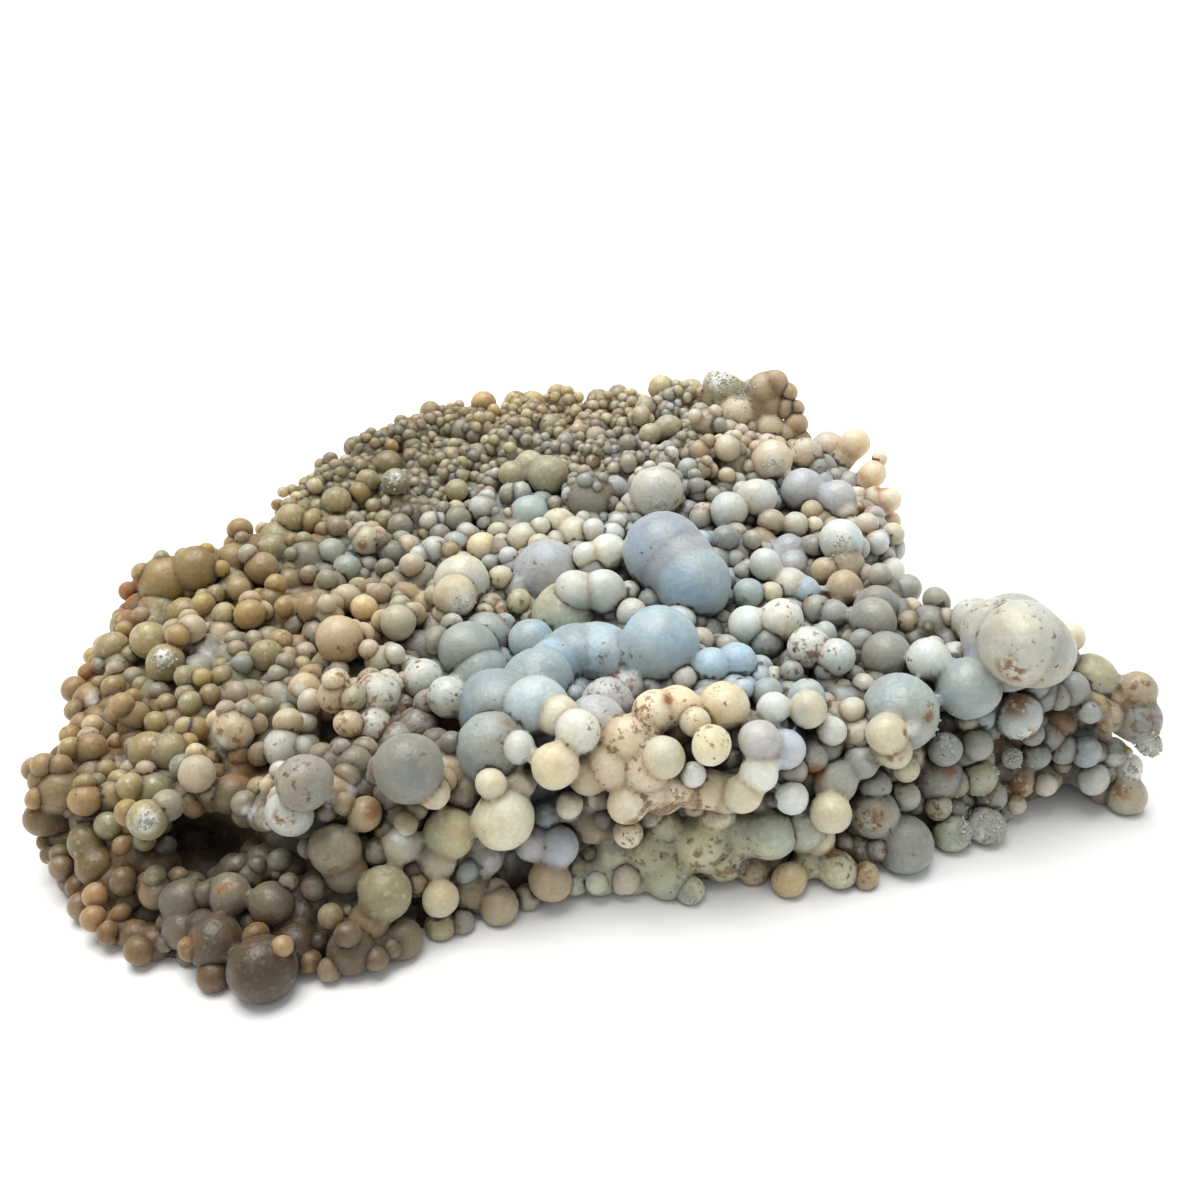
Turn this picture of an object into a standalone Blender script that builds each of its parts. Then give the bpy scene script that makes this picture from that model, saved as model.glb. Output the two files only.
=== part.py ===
"""Grape agate: one plate of round chalcedony lumps grown together, resting on a flat cut.

The plate lies on its cut underside, with the low wall of its foot towards -Y, its raised back
towards +Y and its narrow wing towards +X. Every lump is a ball joined to the mass of the
plate. The lumps that can be told apart in the picture are placed one by one: each is
given by where it is seen from the viewpoint EYE, and it is set on the plate along that line of
sight. Seeded lumps cover the rest of the top, the walls and the back.
"""

import random

import bmesh
import bpy
import numpy
from mathutils import Vector
from mathutils.bvhtree import BVHTree

MM = 0.001

# The viewpoint that the seen lumps are given from, and its picture.
EYE = Vector((0.0, -189.0, 131.0)) * MM
EYE_RIGHT = Vector((1.0, 0.0, 0.0))
EYE_UP = Vector((0.0, 0.5, 0.8660254))
EYE_FORWARD = Vector((0.0, 0.8660254, -0.5))
PICTURE_HALF = 600.0
HALF_WIDTH_PER_DEPTH = 0.445

# The mass under the lumps, in mm: foot of its wall (x, y), then rim of its top (x, y, z).
PLATE_WALL = (
    (80, -25, 77, -23, 16),
    (77, -19, 73, -19, 20),
    (68, -14, 65, -18, 25),
    (58, -9, 56, -14, 26),
    (51, -4, 48, -7, 23),
    (46, 4, 43, 4, 23),
    (50, 14, 47, 14, 24),
    (52, 24, 49, 24, 25),
    (49, 37, 45, 36, 27),
    (42, 47, 38, 44, 30),
    (29, 53, 26, 48, 34),
    (17, 57, 16, 52, 35),
    (4, 61, 4, 57, 33),
    (-10, 62, -10, 58, 33),
    (-24, 60, -22, 56, 32),
    (-36, 52, -34, 49, 31),
    (-47, 41, -44, 39, 29),
    (-55, 28, -53, 26, 27),
    (-60, 14, -58, 13, 25),
    (-70, 9, -68, 7, 24),
    (-78, 6, -76, 4, 20),
    (-81, -6, -78, -6, 17),
    (-78, -26, -75, -26, 14),
    (-78, -41, -74, -38, 12),
    (-72, -49, -66, -42, 13),
    (-62, -56, -56, -43, 14),
    (-51, -60, -47, -44, 16),
    (-38, -60, -36, -45, 19),
    (-26, -53, -26, -44, 20),
    (-11, -46, -12, -41, 21),
    (6, -43, 4, -40, 21),
    (20, -42, 18, -39, 21),
    (34, -39, 31, -35, 20),
    (46, -34, 43, -31, 18),
    (57, -30, 55, -26, 18),
    (69, -23, 66, -22, 20),
)
PLATE_MIDDLE = (-3.0, 2.0)
PLATE_TOP = (
    (-60, -20, 19),
    (-40, -22, 19),
    (-20, -20, 18),
    (0, -22, 18),
    (18, -14, 21),
    (32, -14, 20),
    (46, -14, 20),
    (-60, 0, 22),
    (-40, 12, 21),
    (-20, 16, 22),
    (0, 14, 23),
    (20, 16, 25),
    (38, 18, 24),
    (-28, 36, 27),
    (-8, 42, 29),
    (14, 38, 30),
)
TOP_BLEND_DISTANCE = 2.0
TOP_BLEND_POWER = 1.5
MASS_CUTS = 2
WALL_WAIST = 0.7
WALL_WAIST_HEIGHT = 0.45
TOP_RINGS = (0.84, 0.66, 0.48, 0.3, 0.14)
PLATE_BELOW_CUT = 3.0 * MM

# How lumps sit: a lump's centre stands this share of its width, and this much for each
# storey, above the mass that it grew from.
SEAT_SHARE = 0.10
STOREY = 2.2 * MM
STEM_WIDTH_SHARE = 0.8
STEM_STEP_SHARE = 0.3
STEEPEST_FACING = 0.45
CUT_SHARE = 0.82
LOOK_NEAR = 110.0 * MM
LOOK_FAR = 330.0 * MM
LOOK_STEP = 1.0 * MM

# Lumps told apart in the picture: column and row there, width in mm, storey (2 is perched
# on other lumps, 0 lies between them).
CENTRE = (
    (462, 582, 9.5, 1), (455, 596, 6.8, 2), (548, 573, 11.5, 0), (576, 593, 7.2, 2),
    (604, 591, 7.2, 2), (586, 556, 4.8, 2), (607, 552, 6.1, 2), (565, 615, 10.6, 0),
    (531, 640, 6.5, 1), (556, 666, 8.8, 1), (576, 656, 10.2, 1), (598, 655, 10.2, 1),
    (620, 662, 9.0, 1), (500, 710, 12.0, 1), (505, 748, 9.0, 0), (536, 704, 8.3, 1),
    (558, 718, 5.6, 2), (577, 732, 5.8, 2), (518, 748, 4.9, 1), (555, 766, 6.6, 2),
    (607, 702, 5.3, 1), (627, 689, 5.1, 1), (423, 679, 6.1, 2), (448, 698, 5.9, 2),
    (448, 650, 7.6, 0), (486, 637, 8.0, 0), (478, 672, 8.6, 0), (467, 652, 9.6, 1),
)
LEFT_OF_CENTRE = (
    (340, 638, 7.3, 2), (330, 616, 4.4, 1), (348, 598, 4.7, 1), (398, 622, 5.9, 2),
    (380, 660, 4.5, 1), (313, 610, 4.9, 1), (266, 656, 5.3, 1), (295, 650, 5.0, 0),
    (305, 688, 5.0, 1), (336, 697, 5.3, 2), (376, 695, 6.4, 2), (371, 728, 5.9, 1),
    (280, 695, 4.4, 0), (234, 732, 6.0, 2), (250, 614, 5.0, 1), (272, 600, 4.7, 0),
    (355, 765, 5.4, 0), (283, 748, 5.8, 1), (305, 783, 7.6, 2), (291, 813, 6.2, 2),
    (408, 770, 9.4, 1), (419, 728, 5.9, 0), (240, 768, 5.0, 0),
)
FRONT_LEFT_WALL_AND_FOOT = (
    (334, 850, 7.0, 1), (345, 872, 5.9, 1), (365, 812, 5.0, 1), (386, 893, 7.3, 2),
    (264, 860, 5.0, 0), (272, 903, 6.2, 1), (230, 895, 5.6, 1), (262, 970, 8.8, 1),
    (297, 945, 6.5, 0), (305, 915, 4.8, 0), (352, 950, 7.0, 0), (380, 945, 5.4, 0),
    (369, 926, 6.8, 1), (402, 938, 6.0, 0), (147, 820, 5.0, 2), (156, 893, 4.8, 1),
    (183, 903, 6.2, 1), (181, 930, 5.3, 1), (135, 935, 4.8, 0), (215, 942, 7.5, 1),
    (213, 976, 4.5, 0), (60, 790, 6.4, 1), (86, 800, 4.8, 1), (42, 820, 5.0, 1),
    (86, 842, 5.4, 1), (97, 866, 5.8, 1), (197, 773, 5.6, 2), (147, 750, 5.3, 1),
    (171, 752, 4.8, 1),
)
FRONT_RIM_AND_WALL_CENTRE = (
    (434, 793, 4.5, 2), (463, 790, 5.3, 0), (450, 832, 7.0, 1), (435, 862, 5.4, 1),
    (400, 845, 5.9, 1), (440, 899, 5.4, 2), (491, 783, 4.4, 2), (504, 820, 8.4, 2),
    (520, 782, 4.7, 1), (588, 775, 6.0, 1), (545, 815, 4.8, 0), (532, 843, 5.0, 1),
    (559, 846, 6.0, 1), (590, 824, 6.0, 0), (484, 856, 6.0, 0), (470, 890, 6.5, 0),
    (500, 905, 5.4, 0), (550, 880, 5.8, 1), (574, 868, 4.4, 0), (612, 852, 5.0, 0),
    (628, 804, 5.8, 2), (660, 795, 5.8, 1), (690, 790, 4.6, 1), (709, 788, 5.3, 1),
    (726, 792, 5.4, 1), (744, 793, 5.3, 2), (760, 772, 5.8, 2), (791, 798, 4.8, 2),
    (650, 850, 7.5, 0), (668, 876, 6.6, 0), (700, 842, 8.0, 0), (722, 858, 6.5, 0),
    (742, 835, 6.6, 0), (770, 835, 7.2, 1), (776, 862, 4.6, 0), (790, 880, 5.3, 1),
    (807, 864, 4.5, 1), (802, 828, 6.6, 1), (832, 812, 5.8, 2), (817, 836, 5.4, 1),
    (838, 870, 5.9, 1),
)
CENTRE_RIGHT = (
    (664, 552, 13.2, 2), (679, 568, 12.8, 2), (693, 583, 12.3, 2), (658, 645, 11.8, 2),
    (708, 633, 5.1, 0), (711, 668, 5.5, 1), (738, 663, 5.8, 1), (748, 625, 6.3, 2),
    (780, 620, 6.7, 2), (809, 648, 6.2, 2), (836, 657, 5.8, 2), (790, 586, 6.1, 1),
    (805, 592, 5.3, 1), (765, 564, 5.5, 2), (724, 706, 7.0, 2), (655, 712, 6.1, 2),
    (678, 708, 6.4, 2), (711, 746, 5.4, 2), (773, 708, 4.7, 2), (807, 698, 5.6, 1),
    (808, 710, 5.2, 2), (760, 742, 6.0, 1), (785, 750, 5.9, 1), (626, 740, 6.8, 1),
    (645, 766, 7.5, 1), (650, 786, 6.8, 1), (610, 765, 6.5, 1), (672, 782, 6.2, 1),
    (640, 735, 6.0, 1), (665, 757, 5.9, 2),
)
RIGHT = (
    (844, 588, 6.2, 1), (876, 606, 7.3, 1), (873, 620, 7.5, 2), (833, 615, 5.4, 1),
    (915, 640, 4.4, 0), (945, 642, 5.0, 0), (886, 658, 7.6, 1), (929, 659, 6.5, 2),
    (967, 689, 9.3, 2), (901, 712, 11.0, 1), (843, 700, 4.7, 0), (862, 762, 5.0, 1),
    (836, 782, 6.6, 1), (886, 733, 5.9, 2), (893, 751, 5.0, 2), (945, 748, 5.2, 1),
    (936, 777, 7.5, 0), (980, 778, 5.3, 1), (873, 815, 7.4, 1), (905, 845, 8.6, 1),
    (952, 833, 5.3, 1), (986, 825, 5.6, 1), (1018, 716, 7.0, 1), (1064, 749, 4.4, 1),
    (1019, 783, 5.0, 0), (1060, 722, 5.0, 0), (1040, 692, 6.2, 0),
)
RIGHT_WING = (
    (975, 622, 7.5, 2), (1012, 625, 10.0, 2), (1005, 650, 11.8, 2), (1040, 650, 10.3, 2),
    (1070, 638, 4.4, 1), (1091, 678, 8.0, 1), (1138, 690, 6.0, 1), (1137, 718, 7.3, 1),
    (1112, 714, 5.3, 0), (1128, 768, 4.5, 1), (1127, 795, 6.3, 1),
)
LEFT_SHOULDER = (
    (166, 582, 8.6, 1), (196, 570, 7.6, 1), (146, 588, 5.6, 1), (160, 608, 6.0, 0),
    (184, 612, 5.0, 0), (191, 629, 4.6, 2), (151, 640, 6.2, 1), (165, 664, 6.0, 1),
    (113, 648, 5.0, 1), (112, 660, 4.4, 0), (92, 702, 6.2, 1), (135, 715, 5.0, 1),
    (205, 652, 5.8, 0), (92, 750, 4.8, 1), (80, 770, 4.8, 1), (46, 778, 5.0, 0),
)
BACK_LEFT = (
    (234, 562, 6.0, 0), (262, 568, 5.8, 1), (272, 550, 5.5, 0), (292, 519, 5.0, 1),
    (336, 503, 5.5, 1), (306, 562, 7.0, 0), (331, 553, 4.6, 1), (348, 570, 4.9, 1),
    (367, 540, 5.0, 2), (392, 554, 4.6, 1), (400, 527, 5.0, 1), (368, 481, 5.7, 1),
    (395, 481, 5.0, 2), (388, 464, 6.4, 0),
)
BACK_CENTRE = (
    (512, 475, 6.3, 1), (530, 465, 6.4, 1), (548, 475, 7.4, 1), (588, 500, 9.3, 0),
    (615, 490, 5.9, 0), (483, 508, 4.8, 1), (498, 524, 5.4, 0), (457, 520, 4.4, 1),
    (436, 550, 4.8, 1), (482, 548, 5.3, 1), (525, 540, 6.0, 1), (558, 525, 6.0, 1),
    (572, 535, 6.3, 1), (530, 515, 6.8, 0), (542, 503, 5.1, 0), (457, 490, 4.8, 1),
)
BACK_RIGHT_RIDGE = (
    (715, 382, 4.8, 1), (728, 388, 6.0, 1), (738, 393, 5.2, 1), (763, 388, 6.0, 1),
    (775, 383, 5.2, 1), (641, 416, 4.4, 1), (668, 428, 5.7, 1), (650, 435, 4.9, 1),
    (706, 422, 6.1, 1), (738, 413, 6.9, 1), (768, 428, 5.9, 1), (770, 405, 4.7, 1),
    (797, 424, 4.6, 1), (789, 434, 4.5, 1), (728, 448, 6.3, 2), (700, 452, 5.5, 1),
    (703, 470, 4.6, 1), (735, 462, 7.6, 0), (771, 462, 8.0, 1), (805, 455, 6.2, 1),
    (663, 460, 4.6, 1), (657, 491, 9.1, 2), (635, 505, 4.8, 1), (696, 486, 4.7, 1),
    (689, 511, 4.4, 0), (726, 488, 4.9, 0), (728, 511, 6.6, 2), (757, 497, 6.8, 2),
    (726, 539, 5.0, 1), (700, 545, 5.0, 0), (771, 523, 4.5, 1), (796, 526, 4.5, 1),
    (788, 550, 5.6, 0), (803, 490, 8.1, 1), (828, 446, 5.9, 1), (854, 444, 5.9, 1),
    (873, 474, 5.0, 1), (876, 503, 5.2, 1), (890, 500, 4.5, 1), (878, 535, 4.9, 1),
    (822, 482, 5.2, 0), (848, 484, 4.9, 0), (835, 500, 6.9, 1), (845, 512, 4.4, 1),
    (842, 541, 7.3, 2), (845, 565, 6.5, 1),
)
SEEN_LUMPS = (
    CENTRE,
    LEFT_OF_CENTRE,
    FRONT_LEFT_WALL_AND_FOOT,
    FRONT_RIM_AND_WALL_CENTRE,
    CENTRE_RIGHT,
    RIGHT,
    RIGHT_WING,
    LEFT_SHOULDER,
    BACK_LEFT,
    BACK_CENTRE,
    BACK_RIGHT_RIDGE,
)

# Lumps that cover the rest, in mm.
COVER_SEED = 11
COVER_TRIES = 5200
COVER_WIDTH_SEEN = (4.6, 6.4)
COVER_WIDTH_HIDDEN = (6.5, 10.0)
COVER_SPACING = 0.60
COVER_RISE = (-0.2, 0.35)

# Hollows between the lumps: column, row and half width and half height in the picture, and
# how far in mm the mass lies back there.
HOLLOWS = (
    (205, 838, 62, 42, 11.0),
    (332, 738, 30, 20, 7.0),
    (450, 732, 26, 16, 4.0),
    (780, 656, 20, 12, 4.0),
    (722, 612, 14, 10, 3.0),
    (860, 800, 26, 14, 4.0),
    (935, 712, 22, 14, 3.0),
    (560, 790, 30, 12, 3.0),
    (1075, 790, 30, 26, 7.0),
    (560, 905, 40, 12, 3.0),
)
HOLLOW_BARE_SHARE = 0.8

# How the balls are joined into one solid.
BALL_SUBDIVISIONS = 2
SKIN_CELL = 0.8 * MM
FACES_WANTED = 9400
CUT_HEIGHT = 0.3 * MM


def clear_scene():
    """Remove what a new file holds."""
    for thing in list(bpy.data.objects):
        bpy.data.objects.remove(thing, do_unlink=True)


def agate_material():
    """Waxy pale chalcedony."""
    material = bpy.data.materials.new("agate")
    material.use_nodes = True
    surface = material.node_tree.nodes["Principled BSDF"]
    surface.inputs["Base Color"].default_value = (0.47, 0.46, 0.42, 1.0)
    surface.inputs["Roughness"].default_value = 0.42
    surface.inputs["Metallic"].default_value = 0.0
    material.diffuse_color = (0.47, 0.46, 0.42, 1.0)
    return material


def top_height(x, y):
    """Height of the mass at a place inside its rim, blended from the places around it."""
    total = 0.0
    weight_sum = 0.0
    heights = [(rim[2], rim[3], rim[4]) for rim in PLATE_WALL] + list(PLATE_TOP)
    for near_x, near_y, height in heights:
        distance = (x - near_x) ** 2 + (y - near_y) ** 2
        weight = 1.0 / (distance + TOP_BLEND_DISTANCE ** 2) ** TOP_BLEND_POWER
        total += weight * height
        weight_sum += weight
    return total / weight_sum


def build_mass():
    """The closed mass under the lumps: a wall all round and a top of rings to its middle."""
    mesh = bmesh.new()
    rings = []
    foot = [mesh.verts.new((x, y, -PLATE_BELOW_CUT / MM)) for x, y, *_ in PLATE_WALL]
    rings.append(foot)
    rings.append([mesh.verts.new((x, y, 0.0)) for x, y, *_ in PLATE_WALL])
    waist = []
    for x, y, rim_x, rim_y, rim_z in PLATE_WALL:
        waist_x = x + (rim_x - x) * WALL_WAIST
        waist_y = y + (rim_y - y) * WALL_WAIST
        waist.append(mesh.verts.new((waist_x, waist_y, rim_z * WALL_WAIST_HEIGHT)))
    rings.append(waist)
    rings.append([mesh.verts.new(rim) for _, _, *rim in PLATE_WALL])
    middle_x, middle_y = PLATE_MIDDLE
    for share in TOP_RINGS:
        ring = []
        for _, _, rim_x, rim_y, _ in PLATE_WALL:
            x = middle_x + (rim_x - middle_x) * share
            y = middle_y + (rim_y - middle_y) * share
            ring.append(mesh.verts.new((x, y, top_height(x, y))))
        rings.append(ring)
    count = len(PLATE_WALL)
    for lower, upper in zip(rings, rings[1:]):
        for index in range(count):
            following = (index + 1) % count
            mesh.faces.new((lower[index], lower[following], upper[following], upper[index]))
    centre = mesh.verts.new((middle_x, middle_y, top_height(middle_x, middle_y)))
    for index in range(count):
        mesh.faces.new((rings[-1][index], rings[-1][(index + 1) % count], centre))
    mesh.faces.new(list(reversed(foot)))
    bmesh.ops.triangulate(mesh, faces=mesh.faces[:])
    bmesh.ops.scale(mesh, vec=(MM, MM, MM), verts=mesh.verts[:])
    bmesh.ops.recalc_face_normals(mesh, faces=mesh.faces[:])
    bmesh.ops.subdivide_edges(mesh, edges=mesh.edges[:], cuts=MASS_CUTS, use_grid_fill=True)
    bmesh.ops.triangulate(mesh, faces=mesh.faces[:])
    mesh.normal_update()
    press_hollows(mesh)
    mesh.normal_update()
    mesh.verts.index_update()
    return mesh


def picture_place(point):
    """Column and row where a point is seen from EYE."""
    sight = point - EYE
    depth = sight.dot(EYE_FORWARD) * HALF_WIDTH_PER_DEPTH
    column = PICTURE_HALF + sight.dot(EYE_RIGHT) / depth * PICTURE_HALF
    row = PICTURE_HALF - sight.dot(EYE_UP) / depth * PICTURE_HALF
    return column, row


def hollow_depths(point):
    """For each hollow: 1 in its middle, 0 at its edge, less outside, and its depth."""
    column, row = picture_place(point)
    for middle_column, middle_row, half_width, half_height, depth in HOLLOWS:
        across = (column - middle_column) / half_width
        down = (row - middle_row) / half_height
        yield 1.0 - across * across - down * down, depth * MM


def press_hollows(mesh):
    """Set the mass back where hollows are seen."""
    for vert in mesh.verts:
        sight = vert.co - EYE
        if vert.normal.dot(sight) < 0.0:
            press = sum(max(0.0, share) * depth for share, depth in hollow_depths(vert.co))
            vert.co += sight.normalized() * press


def line_of_sight(column, row):
    """Direction from EYE through a place of the picture."""
    across = (column - PICTURE_HALF) / PICTURE_HALF * HALF_WIDTH_PER_DEPTH
    upward = (PICTURE_HALF - row) / PICTURE_HALF * HALF_WIDTH_PER_DEPTH
    return (EYE_FORWARD + EYE_RIGHT * across + EYE_UP * upward).normalized()


def nearest_pass(tree, direction):
    """Where a line of sight that misses the mass comes closest to it, and the mass there."""
    best_gap = LOOK_FAR
    best = None
    reach = LOOK_NEAR
    while reach < LOOK_FAR:
        place = EYE + direction * reach
        on_mass, _, _, gap = tree.find_nearest(place)
        if gap < best_gap:
            best_gap = gap
            best = (place, on_mass)
        reach += LOOK_STEP
    return best


def seat_lump(tree, column, row, width, storey):
    """Centre of a lump that is seen at a place of the picture, and its root on the mass."""
    direction = line_of_sight(column, row)
    root, normal, _, _ = tree.ray_cast(EYE, direction)
    if root is None:
        centre, root = nearest_pass(tree, direction)
    else:
        stand = width * SEAT_SHARE + storey * STOREY
        facing = max(STEEPEST_FACING, -direction.dot(normal))
        centre = root - direction * (stand / facing)
    shortfall = width / 2 * CUT_SHARE - centre.z
    if shortfall > 0.0:
        centre -= direction * (shortfall / -direction.z)
    return centre, root


def stem_balls(centre, root, width):
    """Balls that join a lump to its root where it stands clear of the mass."""
    balls = []
    span = (centre - root).length
    steps = int(span / (width * STEM_STEP_SHARE))
    for step in range(1, steps + 1):
        place = centre.lerp(root, step / (steps + 1))
        balls.append((place, width * STEM_WIDTH_SHARE / 2))
    return balls


def seen_balls(tree):
    """Balls of the lumps told apart in the picture, with their stems."""
    balls = []
    for group in SEEN_LUMPS:
        for column, row, width_mm, storey in group:
            width = width_mm * MM
            centre, root = seat_lump(tree, column, row, width, storey)
            balls.append((centre, width / 2))
            balls.extend(stem_balls(centre, root, width))
    return balls


def random_place(mesh, running_area, rng):
    """A place on the mass, each part of its surface being as likely as its area."""
    pick = rng.random() * running_area[-1]
    face = mesh.faces[int(numpy.searchsorted(running_area, pick))]
    corner_a, corner_b, corner_c = (vert.co for vert in face.verts)
    first = rng.random()
    second = rng.random()
    if first + second > 1.0:
        first = 1.0 - first
        second = 1.0 - second
    place = corner_a + (corner_b - corner_a) * first + (corner_c - corner_a) * second
    return place, face.normal


def cover_balls(mesh, balls):
    """Seeded lumps on what the seen ones leave bare."""
    rng = random.Random(COVER_SEED)
    mesh.faces.ensure_lookup_table()
    running_area = numpy.cumsum([face.calc_area() for face in mesh.faces])
    centres = numpy.array([tuple(centre) for centre, _ in balls])
    radii = numpy.array([radius for _, radius in balls])
    for _ in range(COVER_TRIES):
        place, normal = random_place(mesh, running_area, rng)
        hidden = normal.dot(EYE - place) < 0.0
        widths = COVER_WIDTH_HIDDEN if hidden else COVER_WIDTH_SEEN
        radius = rng.uniform(*widths) * MM / 2
        centre = place + normal * (radius * rng.uniform(*COVER_RISE))
        centre.z = max(centre.z, radius * CUT_SHARE)
        bare = max(share for share, _ in hollow_depths(centre)) > 1.0 - HOLLOW_BARE_SHARE
        if place.z < 0.0 or (bare and not hidden):
            continue
        gaps = numpy.linalg.norm(centres - numpy.array(tuple(centre)), axis=1)
        if numpy.any(gaps < (radii + radius) * COVER_SPACING):
            continue
        centres = numpy.vstack((centres, tuple(centre)))
        radii = numpy.append(radii, radius)
        balls.append((centre, radius))
    return balls


def corners_and_faces(mesh):
    """Corner places and triangles of a mesh, as arrays."""
    corners = numpy.array([tuple(vert.co) for vert in mesh.verts])
    faces = numpy.array([[vert.index for vert in face.verts] for face in mesh.faces])
    return corners, faces


def join_skin(mesh, balls, name):
    """One skin round the mass and all balls, as a new object."""
    ball = bmesh.new()
    bmesh.ops.create_icosphere(ball, subdivisions=BALL_SUBDIVISIONS, radius=1.0)
    ball_corners, ball_faces = corners_and_faces(ball)
    ball.free()
    corners, faces = corners_and_faces(mesh)
    centres = numpy.array([tuple(centre) for centre, _ in balls])
    radii = numpy.array([radius for _, radius in balls])
    copies = ball_corners[None] * radii[:, None, None] + centres[:, None]
    starts = len(corners) + numpy.arange(len(balls)) * len(ball_corners)
    copied_faces = ball_faces[None] + starts[:, None, None]
    all_corners = numpy.vstack((corners, copies.reshape(-1, 3)))
    all_faces = numpy.vstack((faces, copied_faces.reshape(-1, 3)))
    data = bpy.data.meshes.new(name)
    data.from_pydata(all_corners.tolist(), [], all_faces.tolist())
    thing = bpy.data.objects.new(name, data)
    bpy.context.scene.collection.objects.link(thing)
    skin = thing.modifiers.new("skin", "REMESH")
    skin.mode = "VOXEL"
    skin.voxel_size = SKIN_CELL
    skin.adaptivity = 0.0
    return thing


def bake(thing):
    """Give an object the mesh that its modifiers make."""
    graph = bpy.context.evaluated_depsgraph_get()
    baked = bpy.data.meshes.new_from_object(thing.evaluated_get(graph))
    thing.modifiers.clear()
    thing.data = baked


def keep_largest(mesh):
    """Delete every loose island except the one with the most faces."""
    mesh.faces.ensure_lookup_table()
    unseen = set(mesh.faces)
    islands = []
    while unseen:
        island = {unseen.pop()}
        edge_of_island = list(island)
        while edge_of_island:
            face = edge_of_island.pop()
            for edge in face.edges:
                for near in edge.link_faces:
                    if near in unseen:
                        unseen.remove(near)
                        island.add(near)
                        edge_of_island.append(near)
        islands.append(island)
    largest = max(islands, key=len)
    spare = {vert for island in islands if island is not largest for face in island for vert in face.verts}
    bmesh.ops.delete(mesh, geom=list(spare), context="VERTS")


def cut_flat(mesh):
    """Cut the underside flat and close the cut."""
    geometry = mesh.verts[:] + mesh.edges[:] + mesh.faces[:]
    bmesh.ops.bisect_plane(
        mesh,
        geom=geometry,
        dist=1e-7,
        plane_co=(0.0, 0.0, CUT_HEIGHT),
        plane_no=(0.0, 0.0, -1.0),
        clear_outer=True,
    )
    open_edges = [edge for edge in mesh.edges if edge.is_boundary]
    cut = bmesh.ops.holes_fill(mesh, edges=open_edges)
    bmesh.ops.triangulate(mesh, faces=cut["faces"])
    bmesh.ops.dissolve_degenerate(mesh, dist=2e-6, edges=mesh.edges[:])


def settle(mesh):
    """Bring the cut to z = 0 and the middle of the plate's box over the origin."""
    points = numpy.array([tuple(vert.co) for vert in mesh.verts])
    low = points.min(axis=0)
    high = points.max(axis=0)
    shift = Vector((-(low[0] + high[0]) / 2, -(low[1] + high[1]) / 2, -low[2]))
    bmesh.ops.translate(mesh, vec=shift, verts=mesh.verts[:])
    return shift, high - low


def build_agate():
    """The whole piece."""
    mass = build_mass()
    tree = BVHTree.FromBMesh(mass)
    balls = cover_balls(mass, seen_balls(tree))
    thing = join_skin(mass, balls, "grape_agate")
    mass.free()
    bake(thing)
    skin = bmesh.new()
    skin.from_mesh(thing.data)
    keep_largest(skin)
    skin.to_mesh(thing.data)
    reduce_faces = thing.modifiers.new("reduce", "DECIMATE")
    reduce_faces.ratio = FACES_WANTED / (2 * len(skin.faces))
    skin.free()
    bake(thing)
    plate = bmesh.new()
    plate.from_mesh(thing.data)
    bmesh.ops.triangulate(plate, faces=plate.faces[:])
    cut_flat(plate)
    keep_largest(plate)
    shift, size = settle(plate)
    bmesh.ops.recalc_face_normals(plate, faces=plate.faces[:])
    print("balls", len(balls), "triangles", len(plate.faces))
    print("shift mm", [round(value / MM, 2) for value in shift], "size mm", numpy.round(size / MM, 2))
    plate.to_mesh(thing.data)
    plate.free()
    thing.data.materials.append(agate_material())
    return thing


clear_scene()
build_agate()
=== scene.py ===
import itertools
import math
import random

import bmesh
import bpy
import numpy
from mathutils import Euler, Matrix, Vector, noise
from mathutils.bvhtree import BVHTree
from mathutils.kdtree import KDTree


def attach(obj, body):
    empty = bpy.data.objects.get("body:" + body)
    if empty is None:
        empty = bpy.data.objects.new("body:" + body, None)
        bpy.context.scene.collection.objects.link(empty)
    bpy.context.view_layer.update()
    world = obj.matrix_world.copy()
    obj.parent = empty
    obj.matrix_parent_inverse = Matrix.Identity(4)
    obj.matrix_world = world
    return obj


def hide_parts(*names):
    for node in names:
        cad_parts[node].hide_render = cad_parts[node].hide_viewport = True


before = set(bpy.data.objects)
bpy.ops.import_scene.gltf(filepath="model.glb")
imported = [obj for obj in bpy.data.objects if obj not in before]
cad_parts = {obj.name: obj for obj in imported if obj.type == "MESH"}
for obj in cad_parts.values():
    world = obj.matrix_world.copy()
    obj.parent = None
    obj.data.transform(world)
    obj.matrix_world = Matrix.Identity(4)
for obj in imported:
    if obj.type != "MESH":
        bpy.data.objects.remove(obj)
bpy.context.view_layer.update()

# The viewpoint. The specimen lies on a table and is seen from above its low front wall, a
# little closer than it is long, so that the near lumps look larger than those at the back.
# The lumps below are found by their column and row in this view of 1200 by 1200 places.
MM = 0.001
plate_shift = Vector((0.50, 0.90, -0.3)) * MM
eye = Vector((0.0, -189.0, 131.0)) * MM
eye_right = Vector((1.0, 0.0, 0.0))
eye_up = Vector((0.0, 0.5, 0.8660254))
eye_forward = Vector((0.0, 0.8660254, -0.5))
picture_half = 600.0
half_width_per_depth = 0.445

view_data = bpy.data.cameras.new("view")
view_data.angle = 2.0 * math.atan(half_width_per_depth)
view_data.clip_start = 0.01
view = bpy.data.objects.new("view", view_data)
view.location = eye + plate_shift
view.rotation_euler = (math.radians(60.0), 0.0, 0.0)
bpy.context.scene.collection.objects.link(view)
bpy.context.scene.camera = view

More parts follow.
